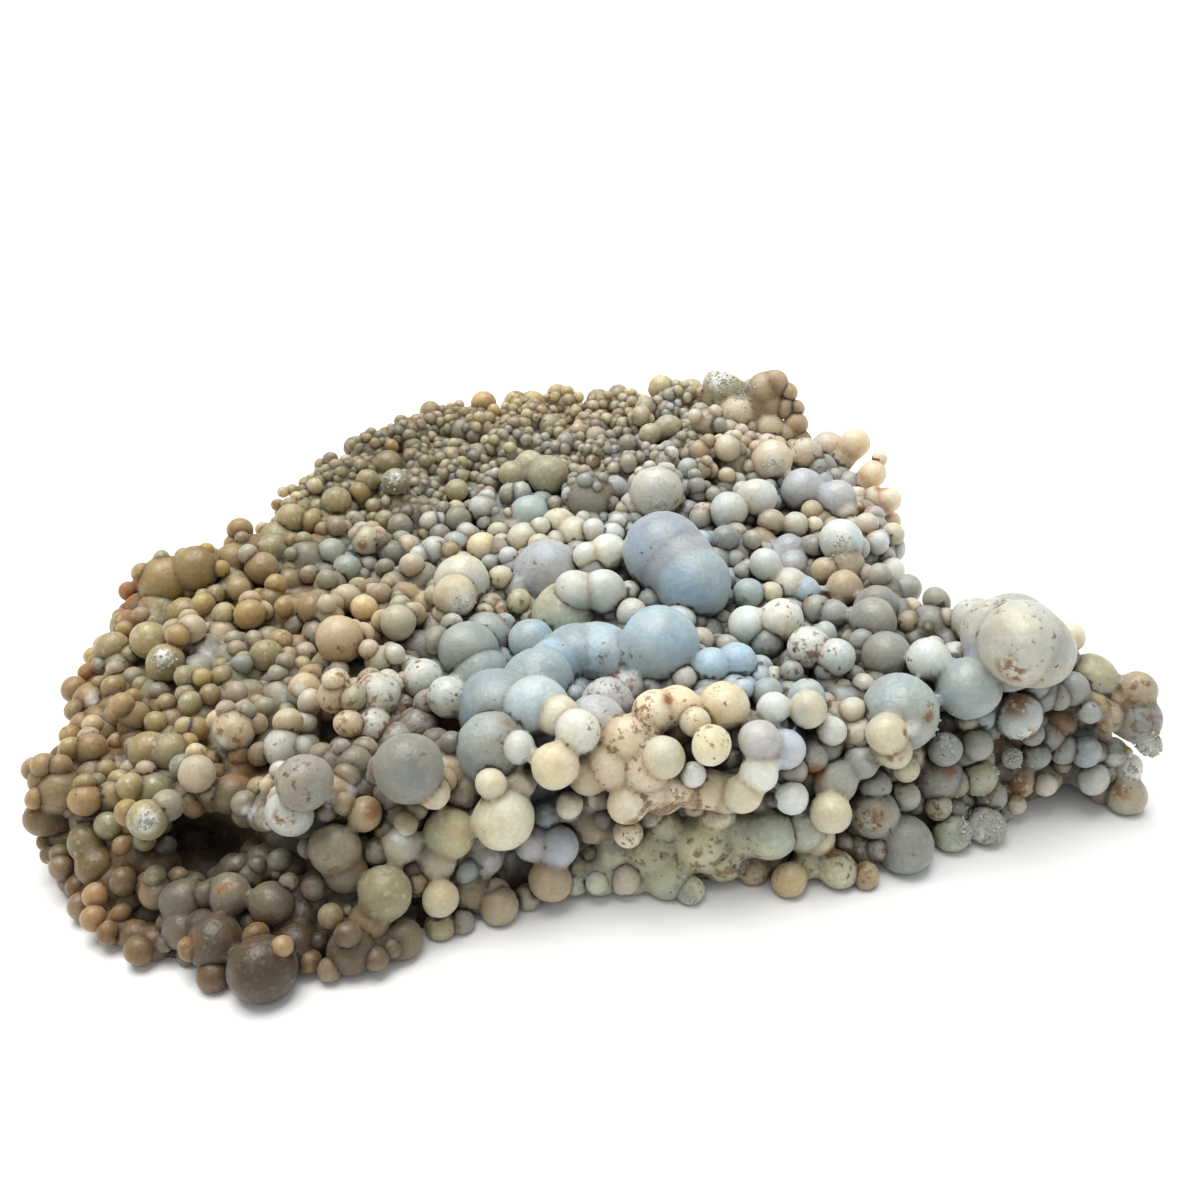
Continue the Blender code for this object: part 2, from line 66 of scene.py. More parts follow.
# The mass of the plate. Under the lumps the chalcedony is one solid crust with a low wall
# all round and a dished top that rises to the back. It is only the bed that the lumps are
# seated on here: the skin round all of it is made further down.
plate_wall = (
    (80, -25, 77, -23, 16),
    (77, -19, 73, -19, 20),
    (68, -14, 65, -18, 25),
    (58, -9, 56, -14, 26),
    (51, -4, 48, -7, 23),
    (46, 4, 43, 4, 23),
    (50, 14, 47, 14, 24),
    (52, 24, 49, 24, 25),
    (49, 37, 45, 36, 27),
    (42, 47, 38, 44, 30),
    (29, 53, 26, 48, 34),
    (17, 57, 16, 52, 35),
    (4, 61, 4, 57, 33),
    (-10, 62, -10, 58, 33),
    (-24, 60, -22, 56, 32),
    (-36, 52, -34, 49, 31),
    (-47, 41, -44, 39, 29),
    (-55, 28, -53, 26, 27),
    (-60, 14, -58, 13, 25),
    (-70, 9, -68, 7, 24),
    (-78, 6, -76, 4, 20),
    (-81, -6, -78, -6, 17),
    (-78, -26, -75, -26, 14),
    (-78, -41, -74, -38, 12),
    (-72, -49, -66, -42, 13),
    (-62, -56, -56, -43, 14),
    (-51, -60, -47, -44, 16),
    (-38, -60, -36, -45, 19),
    (-26, -53, -26, -44, 20),
    (-11, -46, -12, -41, 21),
    (6, -43, 4, -40, 21),
    (20, -42, 18, -39, 21),
    (34, -39, 31, -35, 20),
    (46, -34, 43, -31, 18),
    (57, -30, 55, -26, 18),
    (69, -23, 66, -22, 20),
)
plate_middle = (-3.0, 2.0)
plate_top = (
    (-60, -20, 19),
    (-40, -22, 19),
    (-20, -20, 18),
    (0, -22, 18),
    (18, -14, 21),
    (32, -14, 20),
    (46, -14, 20),
    (-60, 0, 22),
    (-40, 12, 21),
    (-20, 16, 22),
    (0, 14, 23),
    (20, 16, 25),
    (38, 18, 24),
    (-28, 36, 27),
    (-8, 42, 29),
    (14, 38, 30),
)
top_blend_distance = 2.0
top_blend_power = 1.5
mass_cuts = 2
wall_waist = 0.7
wall_waist_height = 0.45
top_rings = (0.84, 0.66, 0.48, 0.3, 0.14)
plate_below_cut = 3.0
hollows = (
    (205, 838, 62, 42, 11.0),
    (332, 738, 30, 20, 7.0),
    (450, 732, 26, 16, 4.0),
    (780, 656, 20, 12, 4.0),
    (722, 612, 14, 10, 3.0),
    (860, 800, 26, 14, 4.0),
    (935, 712, 22, 14, 3.0),
    (560, 790, 30, 12, 3.0),
    (1075, 790, 30, 26, 7.0),
    (560, 905, 40, 12, 3.0),
)
hollow_bare_share = 0.8


def picture_place(point):
    """Column and row where a point is seen from the eye."""
    sight = point - eye
    depth = sight.dot(eye_forward) * half_width_per_depth
    column = picture_half + sight.dot(eye_right) / depth * picture_half
    row = picture_half - sight.dot(eye_up) / depth * picture_half
    return column, row


def hollow_depths(point):
    """For each hollow: 1 in its middle, 0 at its edge, less outside, and its depth."""
    column, row = picture_place(point)
    for middle_column, middle_row, half_width, half_height, depth in hollows:
        across = (column - middle_column) / half_width
        down = (row - middle_row) / half_height
        yield 1.0 - across * across - down * down, depth * MM


def top_height(x, y):
    """Height of the mass at a place inside its rim, blended from the places around it."""
    total = 0.0
    weight_sum = 0.0
    heights = [(rim[2], rim[3], rim[4]) for rim in plate_wall] + list(plate_top)
    for near_x, near_y, height in heights:
        distance = (x - near_x) ** 2 + (y - near_y) ** 2
        weight = 1.0 / (distance + top_blend_distance ** 2) ** top_blend_power
        total += weight * height
        weight_sum += weight
    return total / weight_sum


bed = bmesh.new()
bed_rings = [[bed.verts.new((x, y, -plate_below_cut)) for x, y, *_ in plate_wall]]
bed_rings.append([bed.verts.new((x, y, 0.0)) for x, y, *_ in plate_wall])
waist_ring = []
for x, y, rim_x, rim_y, rim_z in plate_wall:
    waist_x = x + (rim_x - x) * wall_waist
    waist_y = y + (rim_y - y) * wall_waist
    waist_ring.append(bed.verts.new((waist_x, waist_y, rim_z * wall_waist_height)))
bed_rings.append(waist_ring)
bed_rings.append([bed.verts.new(rim) for _, _, *rim in plate_wall])
middle_x, middle_y = plate_middle
for share in top_rings:
    inner_ring = []
    for _, _, rim_x, rim_y, _ in plate_wall:
        x = middle_x + (rim_x - middle_x) * share
        y = middle_y + (rim_y - middle_y) * share
        inner_ring.append(bed.verts.new((x, y, top_height(x, y))))
    bed_rings.append(inner_ring)
for lower, upper in zip(bed_rings, bed_rings[1:]):
    for index in range(len(plate_wall)):
        following = (index + 1) % len(plate_wall)
        bed.faces.new((lower[index], lower[following], upper[following], upper[index]))
bed_centre = bed.verts.new((middle_x, middle_y, top_height(middle_x, middle_y)))
for index in range(len(plate_wall)):
    following = (index + 1) % len(plate_wall)
    bed.faces.new((bed_rings[-1][index], bed_rings[-1][following], bed_centre))
bed.faces.new(list(reversed(bed_rings[0])))
bmesh.ops.triangulate(bed, faces=bed.faces[:])
bmesh.ops.scale(bed, vec=(MM, MM, MM), verts=bed.verts[:])
bmesh.ops.recalc_face_normals(bed, faces=bed.faces[:])
bmesh.ops.subdivide_edges(bed, edges=bed.edges[:], cuts=mass_cuts, use_grid_fill=True)
bmesh.ops.triangulate(bed, faces=bed.faces[:])
bed.normal_update()
for vert in bed.verts:
    sight = vert.co - eye
    if vert.normal.dot(sight) < 0.0:
        press = sum(max(0.0, share) * depth for share, depth in hollow_depths(vert.co))
        vert.co += sight.normalized() * press
bed.normal_update()
bed.verts.index_update()
bed_tree = BVHTree.FromBMesh(bed)

# The large lumps. Each is a ball of chalcedony that grew against its neighbours: the white
# and cream ones perch on top, the blue and lavender ones fill the middle, and grey ones lie
# in between. One line tells a lump: column, row, width in mm, storey (2 perched, 0 sunk)
# and tint.
centre = (
    (462, 582, 9.5, 1, "W"), (455, 596, 6.8, 2, "C"), (548, 573, 11.5, 0, "L"), (576, 593, 7.2, 2, "W"),
    (604, 591, 7.2, 2, "W"), (586, 556, 4.8, 2, "W"), (607, 552, 6.1, 2, "W"), (565, 615, 10.6, 0, "S"),
    (531, 640, 6.5, 1, "B"), (556, 666, 8.8, 1, "B"), (576, 656, 10.2, 1, "B"), (598, 655, 10.2, 1, "B"),
    (620, 662, 9.0, 1, "B"), (500, 710, 12.0, 1, "N"), (492, 748, 10.0, 0, "N"), (538, 684, 10.6, 1, "N"),
    (536, 708, 8.6, 2, "B"), (560, 738, 8.0, 0, "N"), (609, 702, 7.6, 2, "L"), (598, 724, 8.0, 1, "L"),
    (505, 748, 9.0, 0, "G"), (536, 704, 8.3, 1, "B"), (558, 718, 5.6, 2, "C"), (577, 732, 5.8, 2, "W"),
    (518, 748, 4.9, 1, "W"), (555, 766, 6.6, 2, "C"), (607, 702, 5.3, 1, "T"), (627, 689, 5.1, 1, "L"),
    (423, 679, 6.1, 2, "W"), (448, 698, 5.9, 2, "W"), (448, 650, 7.6, 0, "G"), (486, 637, 8.0, 0, "N"),
    (478, 672, 8.6, 0, "N"), (467, 652, 9.6, 1, "N"),
)
left_of_centre = (
    (340, 638, 7.3, 2, "P"), (330, 616, 4.4, 1, "C"), (348, 598, 4.7, 1, "C"), (398, 622, 5.9, 2, "C"),
    (380, 660, 4.5, 1, "W"), (313, 610, 4.9, 1, "T"), (266, 656, 5.3, 1, "S"), (295, 650, 5.0, 0, "T"),
    (305, 688, 5.0, 1, "C"), (336, 697, 5.3, 2, "P"), (376, 695, 6.4, 2, "W"), (371, 728, 5.9, 1, "W"),
    (280, 695, 4.4, 0, "L"), (234, 732, 6.0, 2, "P"), (250, 614, 5.0, 1, "Y"), (272, 600, 4.7, 0, "Y"),
    (355, 765, 5.4, 0, "G"), (283, 748, 5.8, 1, "W"), (305, 783, 7.6, 2, "L"), (291, 813, 6.2, 2, "W"),
    (408, 770, 9.4, 1, "G"), (419, 728, 5.9, 0, "G"), (240, 768, 5.0, 0, "K"),
)
front_left_wall_and_foot = (
    (334, 850, 7.0, 1, "G"), (345, 872, 5.9, 1, "G"), (365, 812, 5.0, 1, "T"), (386, 893, 7.3, 2, "S"),
    (264, 860, 5.0, 0, "G"), (272, 903, 6.2, 1, "L"), (230, 895, 5.6, 1, "L"), (262, 970, 8.8, 1, "K"),
    (297, 945, 6.5, 0, "K"), (305, 915, 4.8, 0, "K"), (352, 950, 7.0, 0, "K"), (380, 945, 5.4, 0, "K"),
    (369, 926, 6.8, 1, "T"), (402, 938, 6.0, 0, "K"), (147, 820, 5.0, 2, "S"), (156, 893, 4.8, 1, "P"),
    (183, 903, 6.2, 1, "L"), (181, 930, 5.3, 1, "L"), (135, 935, 4.8, 0, "T"), (215, 942, 7.5, 1, "K"),
    (213, 976, 4.5, 0, "T"), (60, 790, 6.4, 1, "T"), (86, 800, 4.8, 1, "T"), (42, 820, 5.0, 1, "T"),
    (86, 842, 5.4, 1, "S"), (97, 866, 5.8, 1, "Y"), (197, 773, 5.6, 2, "P"), (147, 750, 5.3, 1, "S"),
    (171, 752, 4.8, 1, "S"),
)
front_rim_and_wall_centre = (
    (434, 793, 4.5, 2, "C"), (463, 790, 5.3, 0, "K"), (450, 832, 7.0, 1, "S"), (435, 862, 5.4, 1, "C"),
    (400, 845, 5.9, 1, "C"), (440, 899, 5.4, 2, "C"), (491, 783, 4.4, 2, "C"), (504, 820, 8.4, 2, "C"),
    (520, 782, 4.7, 1, "T"), (588, 775, 6.0, 1, "T"), (545, 815, 4.8, 0, "B"), (532, 843, 5.0, 1, "L"),
    (559, 846, 6.0, 1, "L"), (590, 824, 6.0, 0, "T"), (484, 856, 6.0, 0, "L"), (470, 890, 6.5, 0, "K"),
    (500, 905, 5.4, 0, "T"), (550, 880, 5.8, 1, "T"), (574, 868, 4.4, 0, "T"), (612, 852, 5.0, 0, "V"),
    (628, 804, 5.8, 2, "P"), (660, 795, 5.8, 1, "P"), (690, 790, 4.6, 1, "T"), (709, 788, 5.3, 1, "P"),
    (726, 792, 5.4, 1, "C"), (744, 793, 5.3, 2, "C"), (760, 772, 5.8, 2, "W"), (791, 798, 4.8, 2, "W"),
    (650, 850, 7.5, 0, "V"), (668, 876, 6.6, 0, "V"), (700, 842, 8.0, 0, "V"), (722, 858, 6.5, 0, "V"),
    (742, 835, 6.6, 0, "V"), (770, 835, 7.2, 1, "V"), (776, 862, 4.6, 0, "T"), (790, 880, 5.3, 1, "T"),
    (807, 864, 4.5, 1, "S"), (802, 828, 6.6, 1, "S"), (832, 812, 5.8, 2, "C"), (817, 836, 5.4, 1, "C"),
    (838, 870, 5.9, 1, "S"),
)
centre_right = (
    (664, 552, 13.2, 2, "L"), (679, 568, 12.8, 2, "L"), (693, 583, 12.3, 2, "B"), (658, 645, 11.8, 2, "B"),
    (708, 633, 5.1, 0, "G"), (711, 668, 5.5, 1, "B"), (738, 663, 5.8, 1, "B"), (748, 625, 6.3, 2, "W"),
    (780, 620, 6.7, 2, "W"), (809, 648, 6.2, 2, "W"), (836, 657, 5.8, 2, "W"), (790, 586, 6.1, 1, "W"),
    (805, 592, 5.3, 1, "B"), (765, 564, 5.5, 2, "W"), (724, 706, 7.0, 2, "C"), (655, 712, 6.1, 2, "P"),
    (678, 708, 6.4, 2, "P"), (711, 746, 5.4, 2, "C"), (773, 708, 4.7, 2, "W"), (807, 698, 5.6, 1, "B"),
    (808, 710, 5.2, 2, "C"), (760, 742, 6.0, 1, "L"), (785, 750, 5.9, 1, "L"), (626, 740, 6.8, 1, "P"),
    (645, 766, 7.5, 1, "P"), (650, 786, 6.8, 1, "P"), (610, 765, 6.5, 1, "P"), (672, 782, 6.2, 1, "P"),
    (640, 735, 6.0, 1, "P"), (665, 757, 5.9, 2, "C"),
)
right = (
    (844, 588, 6.2, 1, "T"), (876, 606, 7.3, 1, "G"), (873, 620, 7.5, 2, "G"), (833, 615, 5.4, 1, "G"),
    (915, 640, 4.4, 0, "G"), (945, 642, 5.0, 0, "G"), (886, 658, 7.6, 1, "G"), (929, 659, 6.5, 2, "W"),
    (967, 689, 9.3, 2, "N"), (901, 712, 11.0, 1, "N"), (843, 700, 4.7, 0, "G"), (862, 762, 5.0, 1, "G"),
    (836, 782, 6.6, 1, "G"), (886, 733, 5.9, 2, "C"), (893, 751, 5.0, 2, "C"), (945, 748, 5.2, 1, "G"),
    (936, 777, 7.5, 0, "G"), (980, 778, 5.3, 1, "S"), (873, 815, 7.4, 1, "G"), (905, 845, 8.6, 1, "G"),
    (952, 833, 5.3, 1, "S"), (986, 825, 5.6, 1, "D"), (1018, 716, 7.0, 1, "W"), (1064, 749, 4.4, 1, "G"),
    (1019, 783, 5.0, 0, "P"), (1060, 722, 5.0, 0, "K"), (1040, 692, 6.2, 0, "G"),
)
right_wing = (
    (975, 622, 7.5, 2, "M"), (1022, 642, 12.0, 2, "M"), (997, 634, 11.0, 2, "M"), (1012, 625, 10.0, 2, "M"),
    (1005, 650, 11.8, 2, "L"), (1040, 650, 10.3, 2, "M"), (1070, 638, 4.4, 1, "C"), (1091, 678, 8.0, 1, "S"),
    (1138, 690, 6.0, 1, "T"), (1137, 718, 7.3, 1, "G"), (1112, 714, 5.3, 0, "T"), (1128, 768, 4.5, 1, "W"),
    (1127, 795, 6.3, 1, "T"),
)
left_shoulder = (
    (166, 582, 8.6, 1, "Y"), (196, 570, 7.6, 1, "Y"), (146, 588, 5.6, 1, "R"), (160, 608, 6.0, 0, "S"),
    (184, 612, 5.0, 0, "S"), (191, 629, 4.6, 2, "P"), (151, 640, 6.2, 1, "S"), (165, 664, 6.0, 1, "S"),
    (113, 648, 5.0, 1, "S"), (112, 660, 4.4, 0, "T"), (92, 702, 6.2, 1, "T"), (135, 715, 5.0, 1, "T"),
    (205, 652, 5.8, 0, "L"), (92, 750, 4.8, 1, "T"), (80, 770, 4.8, 1, "T"), (46, 778, 5.0, 0, "T"),
)
back_left = (
    (234, 562, 6.0, 0, "T"), (262, 568, 5.8, 1, "T"), (272, 550, 5.5, 0, "S"), (292, 519, 5.0, 1, "S"),
    (336, 503, 5.5, 1, "S"), (306, 562, 7.0, 0, "G"), (331, 553, 4.6, 1, "B"), (348, 570, 4.9, 1, "B"),
    (367, 540, 5.0, 2, "W"), (392, 554, 4.6, 1, "G"), (400, 527, 5.0, 1, "G"), (368, 481, 5.7, 1, "S"),
    (395, 481, 5.0, 2, "S"), (388, 464, 6.4, 0, "S"),
)
back_centre = (
    (512, 475, 6.3, 1, "S"), (530, 465, 6.4, 1, "S"), (548, 475, 7.4, 1, "S"), (588, 500, 9.3, 0, "G"),
    (615, 490, 5.9, 0, "L"), (483, 508, 4.8, 1, "W"), (498, 524, 5.4, 0, "G"), (457, 520, 4.4, 1, "G"),
    (436, 550, 4.8, 1, "W"), (482, 548, 5.3, 1, "C"), (525, 540, 6.0, 1, "C"), (558, 525, 6.0, 1, "C"),
    (572, 535, 6.3, 1, "C"), (530, 515, 6.8, 0, "B"), (542, 503, 5.1, 0, "B"), (457, 490, 4.8, 1, "S"),
)
back_right_ridge = (
    (715, 382, 4.8, 1, "S"), (728, 388, 6.0, 1, "S"), (738, 393, 5.2, 1, "S"), (763, 388, 6.0, 1, "T"),
    (775, 383, 5.2, 1, "T"), (641, 416, 4.4, 1, "W"), (668, 428, 5.7, 1, "S"), (650, 435, 4.9, 1, "S"),
    (706, 422, 6.1, 1, "P"), (738, 413, 6.9, 1, "P"), (768, 428, 5.9, 1, "P"), (770, 405, 4.7, 1, "T"),
    (797, 424, 4.6, 1, "T"), (789, 434, 4.5, 1, "C"), (728, 448, 6.3, 2, "P"), (700, 452, 5.5, 1, "T"),
    (703, 470, 4.6, 1, "T"), (735, 462, 7.6, 0, "T"), (771, 462, 8.0, 1, "P"), (805, 455, 6.2, 1, "P"),
    (663, 460, 4.6, 1, "W"), (657, 491, 9.1, 2, "W"), (635, 505, 4.8, 1, "W"), (696, 486, 4.7, 1, "G"),
    (689, 511, 4.4, 0, "L"), (726, 488, 4.9, 0, "G"), (728, 511, 6.6, 2, "W"), (757, 497, 6.8, 2, "W"),
    (726, 539, 5.0, 1, "G"), (700, 545, 5.0, 0, "B"), (771, 523, 4.5, 1, "T"), (796, 526, 4.5, 1, "C"),
    (788, 550, 5.6, 0, "L"), (803, 490, 8.1, 1, "L"), (828, 446, 5.9, 1, "P"), (854, 444, 5.9, 1, "P"),
    (873, 474, 5.0, 1, "P"), (876, 503, 5.2, 1, "P"), (890, 500, 4.5, 1, "P"), (878, 535, 4.9, 1, "P"),
    (822, 482, 5.2, 0, "L"), (848, 484, 4.9, 0, "L"), (835, 500, 6.9, 1, "L"), (845, 512, 4.4, 1, "W"),
    (842, 541, 7.3, 2, "W"), (845, 565, 6.5, 1, "T"),
)
large_lumps = (
    centre,
    left_of_centre,
    front_left_wall_and_foot,
    front_rim_and_wall_centre,
    centre_right,
    right,
    right_wing,
    left_shoulder,
    back_left,
    back_centre,
    back_right_ridge,
)
seat_share = 0.10
storey_height = 2.2 * MM
stem_width_share = 0.8
cut_share = 0.82
stem_step_share = 0.3
steepest_facing = 0.45
look_near = 110.0 * MM
look_far = 330.0 * MM
look_step = 1.0 * MM


def line_of_sight(column, row):
    """Direction from the eye through a place of the view."""
    across = (column - picture_half) / picture_half * half_width_per_depth
    upward = (picture_half - row) / picture_half * half_width_per_depth
    return (eye_forward + eye_right * across + eye_up * upward).normalized()


def nearest_pass(direction):
    """Where a line of sight that misses the mass comes closest to it, and the mass there."""
    best_gap = look_far
    best = None
    reach = look_near
    while reach < look_far:
        place = eye + direction * reach
        on_mass, _, _, gap = bed_tree.find_nearest(place)
        if gap < best_gap:
            best_gap = gap
            best = (place, on_mass)
        reach += look_step
    return best


def seat_lump(column, row, width, storey):
    """Centre of a lump that is seen at a place of the view, and its root on the mass."""
    direction = line_of_sight(column, row)
    root, normal, _, _ = bed_tree.ray_cast(eye, direction)
    if root is None:
        centre, root = nearest_pass(direction)
    else:
        stand = width * seat_share + storey * storey_height
        facing = max(steepest_facing, -direction.dot(normal))
        centre = root - direction * (stand / facing)
    shortfall = width / 2 * cut_share - centre.z
    if shortfall > 0.0:
        centre -= direction * (shortfall / -direction.z)
    return centre, root


def stem_balls(centre, root, width):
    """Balls that join a lump to its root where it stands clear of the mass."""
    balls = []
    span = (centre - root).length
    steps = int(span / (width * stem_step_share))
    for step in range(1, steps + 1):
        place = centre.lerp(root, step / (steps + 1))
        balls.append((place, width * stem_width_share / 2))
    return balls


lumps = []
standing_indexes = []
for group in large_lumps:
    for column, row, width_mm, storey, tint in group:
        centre, root = seat_lump(column, row, width_mm * MM, storey)
        balls = [(centre, width_mm * MM / 2, tint)]
        balls.extend((*ball, tint) for ball in stem_balls(centre, root, width_mm * MM))
        if storey > 0 and tint != "V":
            standing_indexes.extend(range(len(lumps), len(lumps) + len(balls)))
        lumps.extend(balls)

# The lumps that cover the rest: the walls, the back and what shows between the large ones.
# They take their tint from the nearest large lump, and six in ten of them a duller one.
cover_seed = 11
cover_tries = 5200
cover_width_seen = (4.6, 6.4)
cover_width_hidden = (6.5, 10.0)
cover_spacing = 0.60
cover_rise = (-0.2, 0.35)
bed.faces.ensure_lookup_table()
running_area = numpy.cumsum([face.calc_area() for face in bed.faces])


def random_place(rng):
    """A place on the mass, each part of its surface being as likely as its area."""
    pick = rng.random() * running_area[-1]
    face = bed.faces[int(numpy.searchsorted(running_area, pick))]
    corner_a, corner_b, corner_c = (vert.co for vert in face.verts)
    first = rng.random()
    second = rng.random()
    if first + second > 1.0:
        first = 1.0 - first
        second = 1.0 - second
    place = corner_a + (corner_b - corner_a) * first + (corner_c - corner_a) * second
    return place, face.normal


cover_rng = random.Random(cover_seed)
tint_rng = random.Random(23)
seen_centres = numpy.array([tuple(lump[0]) for lump in lumps])
centres = seen_centres
radii = numpy.array([lump[1] for lump in lumps])
duller = {"W": "G", "C": "T", "P": "T", "B": "G", "L": "G", "Y": "T", "D": "G"}
for _ in range(cover_tries):
    place, normal = random_place(cover_rng)
    hidden = normal.dot(eye - place) < 0.0
    widths = cover_width_hidden if hidden else cover_width_seen
    radius = cover_rng.uniform(*widths) * MM / 2
    centre = place + normal * (radius * cover_rng.uniform(*cover_rise))
    centre.z = max(centre.z, radius * cut_share)
    bare = max(share for share, _ in hollow_depths(centre)) > 1.0 - hollow_bare_share
    if place.z < 0.0 or (bare and not hidden):
        continue
    gaps = numpy.linalg.norm(centres - numpy.array(tuple(centre)), axis=1)
    if numpy.any(gaps < (radii + radius) * cover_spacing):
        continue
    near = int(numpy.argmin(numpy.linalg.norm(seen_centres - numpy.array(tuple(centre)), axis=1)))
    tint = lumps[near][2]
    if tint_rng.random() < 0.6:
        tint = duller.get(tint, tint)
    centres = numpy.vstack((centres, tuple(centre)))
    radii = numpy.append(radii, radius)
    lumps.append((centre, radius, tint))

# The skin. The bed and its lumps are one stone, so one skin is drawn round them all: it is
# rounded on each ball, creased where two of them meet, a little uneven all over as grown
# stone is, and cut flat where the plate was taken off its rock.
ball_detail = 2
skin_cell = 0.66 * MM
skin_triangles = 195000
snap_reach = 0.8 * MM
block_width = 8.0 * MM
block_reach = 10.0 * MM
crease_fillets = {
    "W": 0.12 * MM,
    "C": 0.15 * MM,
    "P": 0.24 * MM,
    "Y": 0.24 * MM,
    "B": 0.26 * MM,
    "N": 0.22 * MM,
    "L": 0.22 * MM,
    "M": 0.24 * MM,
    "G": 0.18 * MM,
    "S": 0.40 * MM,
    "V": 0.50 * MM,
    "T": 0.24 * MM,
    "D": 0.30 * MM,
    "K": 0.20 * MM,
    "R": 0.24 * MM,
}
swell = ((8.0 * MM, 0.50 * MM), (4.2 * MM, 0.15 * MM), (1.6 * MM, 0.05 * MM))


def select_nothing():
    """Leave no object selected."""
    for thing in bpy.context.selected_objects:
        thing.select_set(False)


def make_active(thing):
    """Select one object alone."""
    select_nothing()
    thing.select_set(True)
    bpy.context.view_layer.objects.active = thing


def unit_ball(detail):
    """Corners and triangles of a ball of radius 1."""
    select_nothing()
    bpy.ops.mesh.primitive_ico_sphere_add(subdivisions=detail, radius=1.0)
    ball = bpy.context.object
    corners = numpy.array([tuple(vert.co) for vert in ball.data.vertices])
    faces = numpy.array([tuple(polygon.vertices) for polygon in ball.data.polygons])
    bpy.data.objects.remove(ball, do_unlink=True)
    return corners, faces


def joined_balls(name, balls, detail, extra=None):
    """One object of many balls, and of a mesh that they sit on."""
    ball_corners, ball_faces = unit_ball(detail)
    places = numpy.array([tuple(ball[0]) for ball in balls])
    sizes = numpy.array([ball[1] for ball in balls])
    corners = (ball_corners[None] * sizes[:, None, None] + places[:, None]).reshape(-1, 3)
    starts = numpy.arange(len(balls)) * len(ball_corners)
    faces = (ball_faces[None] + starts[:, None, None]).reshape(-1, 3)
    if extra is not None:
        extra_corners = numpy.array([tuple(vert.co) for vert in extra.verts])
        extra_faces = numpy.array([[vert.index for vert in face.verts] for face in extra.faces])
        faces = numpy.vstack((faces, extra_faces + len(corners)))
        corners = numpy.vstack((corners, extra_corners))
    data = bpy.data.meshes.new(name)
    data.from_pydata(corners.tolist(), [], faces.tolist())
    thing = bpy.data.objects.new(name, data)
    bpy.context.scene.collection.objects.link(thing)
    return thing


def draw_skin(thing, cell, triangles):
    """Draw one skin round what an object holds, drop what is enclosed, and thin it."""
    make_active(thing)
    skin = thing.modifiers.new("skin", "REMESH")
    skin.mode = "VOXEL"
    skin.voxel_size = cell
    bpy.ops.object.modifier_apply(modifier="skin")
    share = triangles / (2 * len(thing.data.polygons))
    if share < 1.0:
        thin = thing.modifiers.new("thin", "DECIMATE")
        thin.ratio = share
        bpy.ops.object.modifier_apply(modifier="thin")


def coordinates(thing):
    """Corner places of an object's mesh."""
    flat = numpy.empty(len(thing.data.vertices) * 3)
    thing.data.vertices.foreach_get("co", flat)
    return flat.reshape(-1, 3)


def nearest_balls(points, places, sizes, fillets):
    """For each point: blended distance to the balls' surfaces, its slope, the nearest ball,
    and how much farther the next ball is. The points are taken block by block."""
    depth = numpy.empty(len(points))
    slope = numpy.empty((len(points), 3))
    nearest = numpy.empty(len(points), dtype=int)
    lead = numpy.empty(len(points))
    keys = numpy.floor(points / block_width).astype(int)
    blocks, members = numpy.unique(keys, axis=0, return_inverse=True)
    by_block = numpy.argsort(members.ravel(), kind="stable")
    starts = numpy.searchsorted(members.ravel()[by_block], numpy.arange(len(blocks) + 1))
    for index, block in enumerate(blocks):
        rows = by_block[starts[index]:starts[index + 1]]
        part = points[rows]
        outside = numpy.linalg.norm(places - (block + 0.5) * block_width, axis=1) - sizes
        reach = max(block_reach, numpy.partition(outside, 5)[5])
        pick = numpy.flatnonzero(outside <= reach)
        away = numpy.linalg.norm(part[:, None] - places[pick][None], axis=2)
        gap = away - sizes[pick][None]
        order = numpy.argpartition(gap, 4, axis=1)[:, :5]
        near_gap = numpy.take_along_axis(gap, order, 1)
        rank = numpy.argsort(near_gap, axis=1)
        order = pick[numpy.take_along_axis(order, rank, 1)]
        near_gap = numpy.take_along_axis(near_gap, rank, 1)
        fillet = (fillets[order[:, 0]] + fillets[order[:, 1]]) / 2.0
        weight = numpy.exp(-(near_gap - near_gap[:, :1]) / fillet[:, None])
        depth[rows] = near_gap[:, 0] - fillet * numpy.log(weight.sum(1))
        weight /= weight.sum(1)[:, None]
        outward = part[:, None] - places[order]
        outward /= numpy.linalg.norm(outward, axis=2)[:, :, None]
        slope[rows] = (outward * weight[:, :, None]).sum(1)
        nearest[rows] = order[:, 0]
        lead[rows] = near_gap[:, 1] - near_gap[:, 0]
    return depth, slope, nearest, lead


def round_off(thing, places, sizes, fillets):
    """Bring the skin's corners onto the balls, with narrow creases between them."""
    points = coordinates(thing)
    for _ in range(2):
        depth, slope, _, _ = nearest_balls(points, places, sizes, fillets)
        near = numpy.abs(depth) < snap_reach
        steep = numpy.maximum(0.3, (slope ** 2).sum(1))
        move = slope * (depth / steep)[:, None]
        points[near] -= move[near]
    thing.data.vertices.foreach_set("co", points.ravel())
    thing.data.update()
    make_active(thing)
    ease = thing.modifiers.new("ease", "SMOOTH")
    ease.factor = 0.4
    ease.iterations = 2
    bpy.ops.object.modifier_apply(modifier="ease")


def make_uneven(thing):
    """Swell and dent the skin a little, as grown stone is."""
    points = coordinates(thing)
    normals = numpy.empty(len(points) * 3)
    thing.data.vertices.foreach_get("normal", normals)
    normals = normals.reshape(-1, 3)
    for wavelength, height in swell:
        rise = numpy.array([noise.noise(Vector(point) / wavelength) for point in points])
        points += normals * (rise * height)[:, None]
    thing.data.vertices.foreach_set("co", points.ravel())
    thing.data.update()


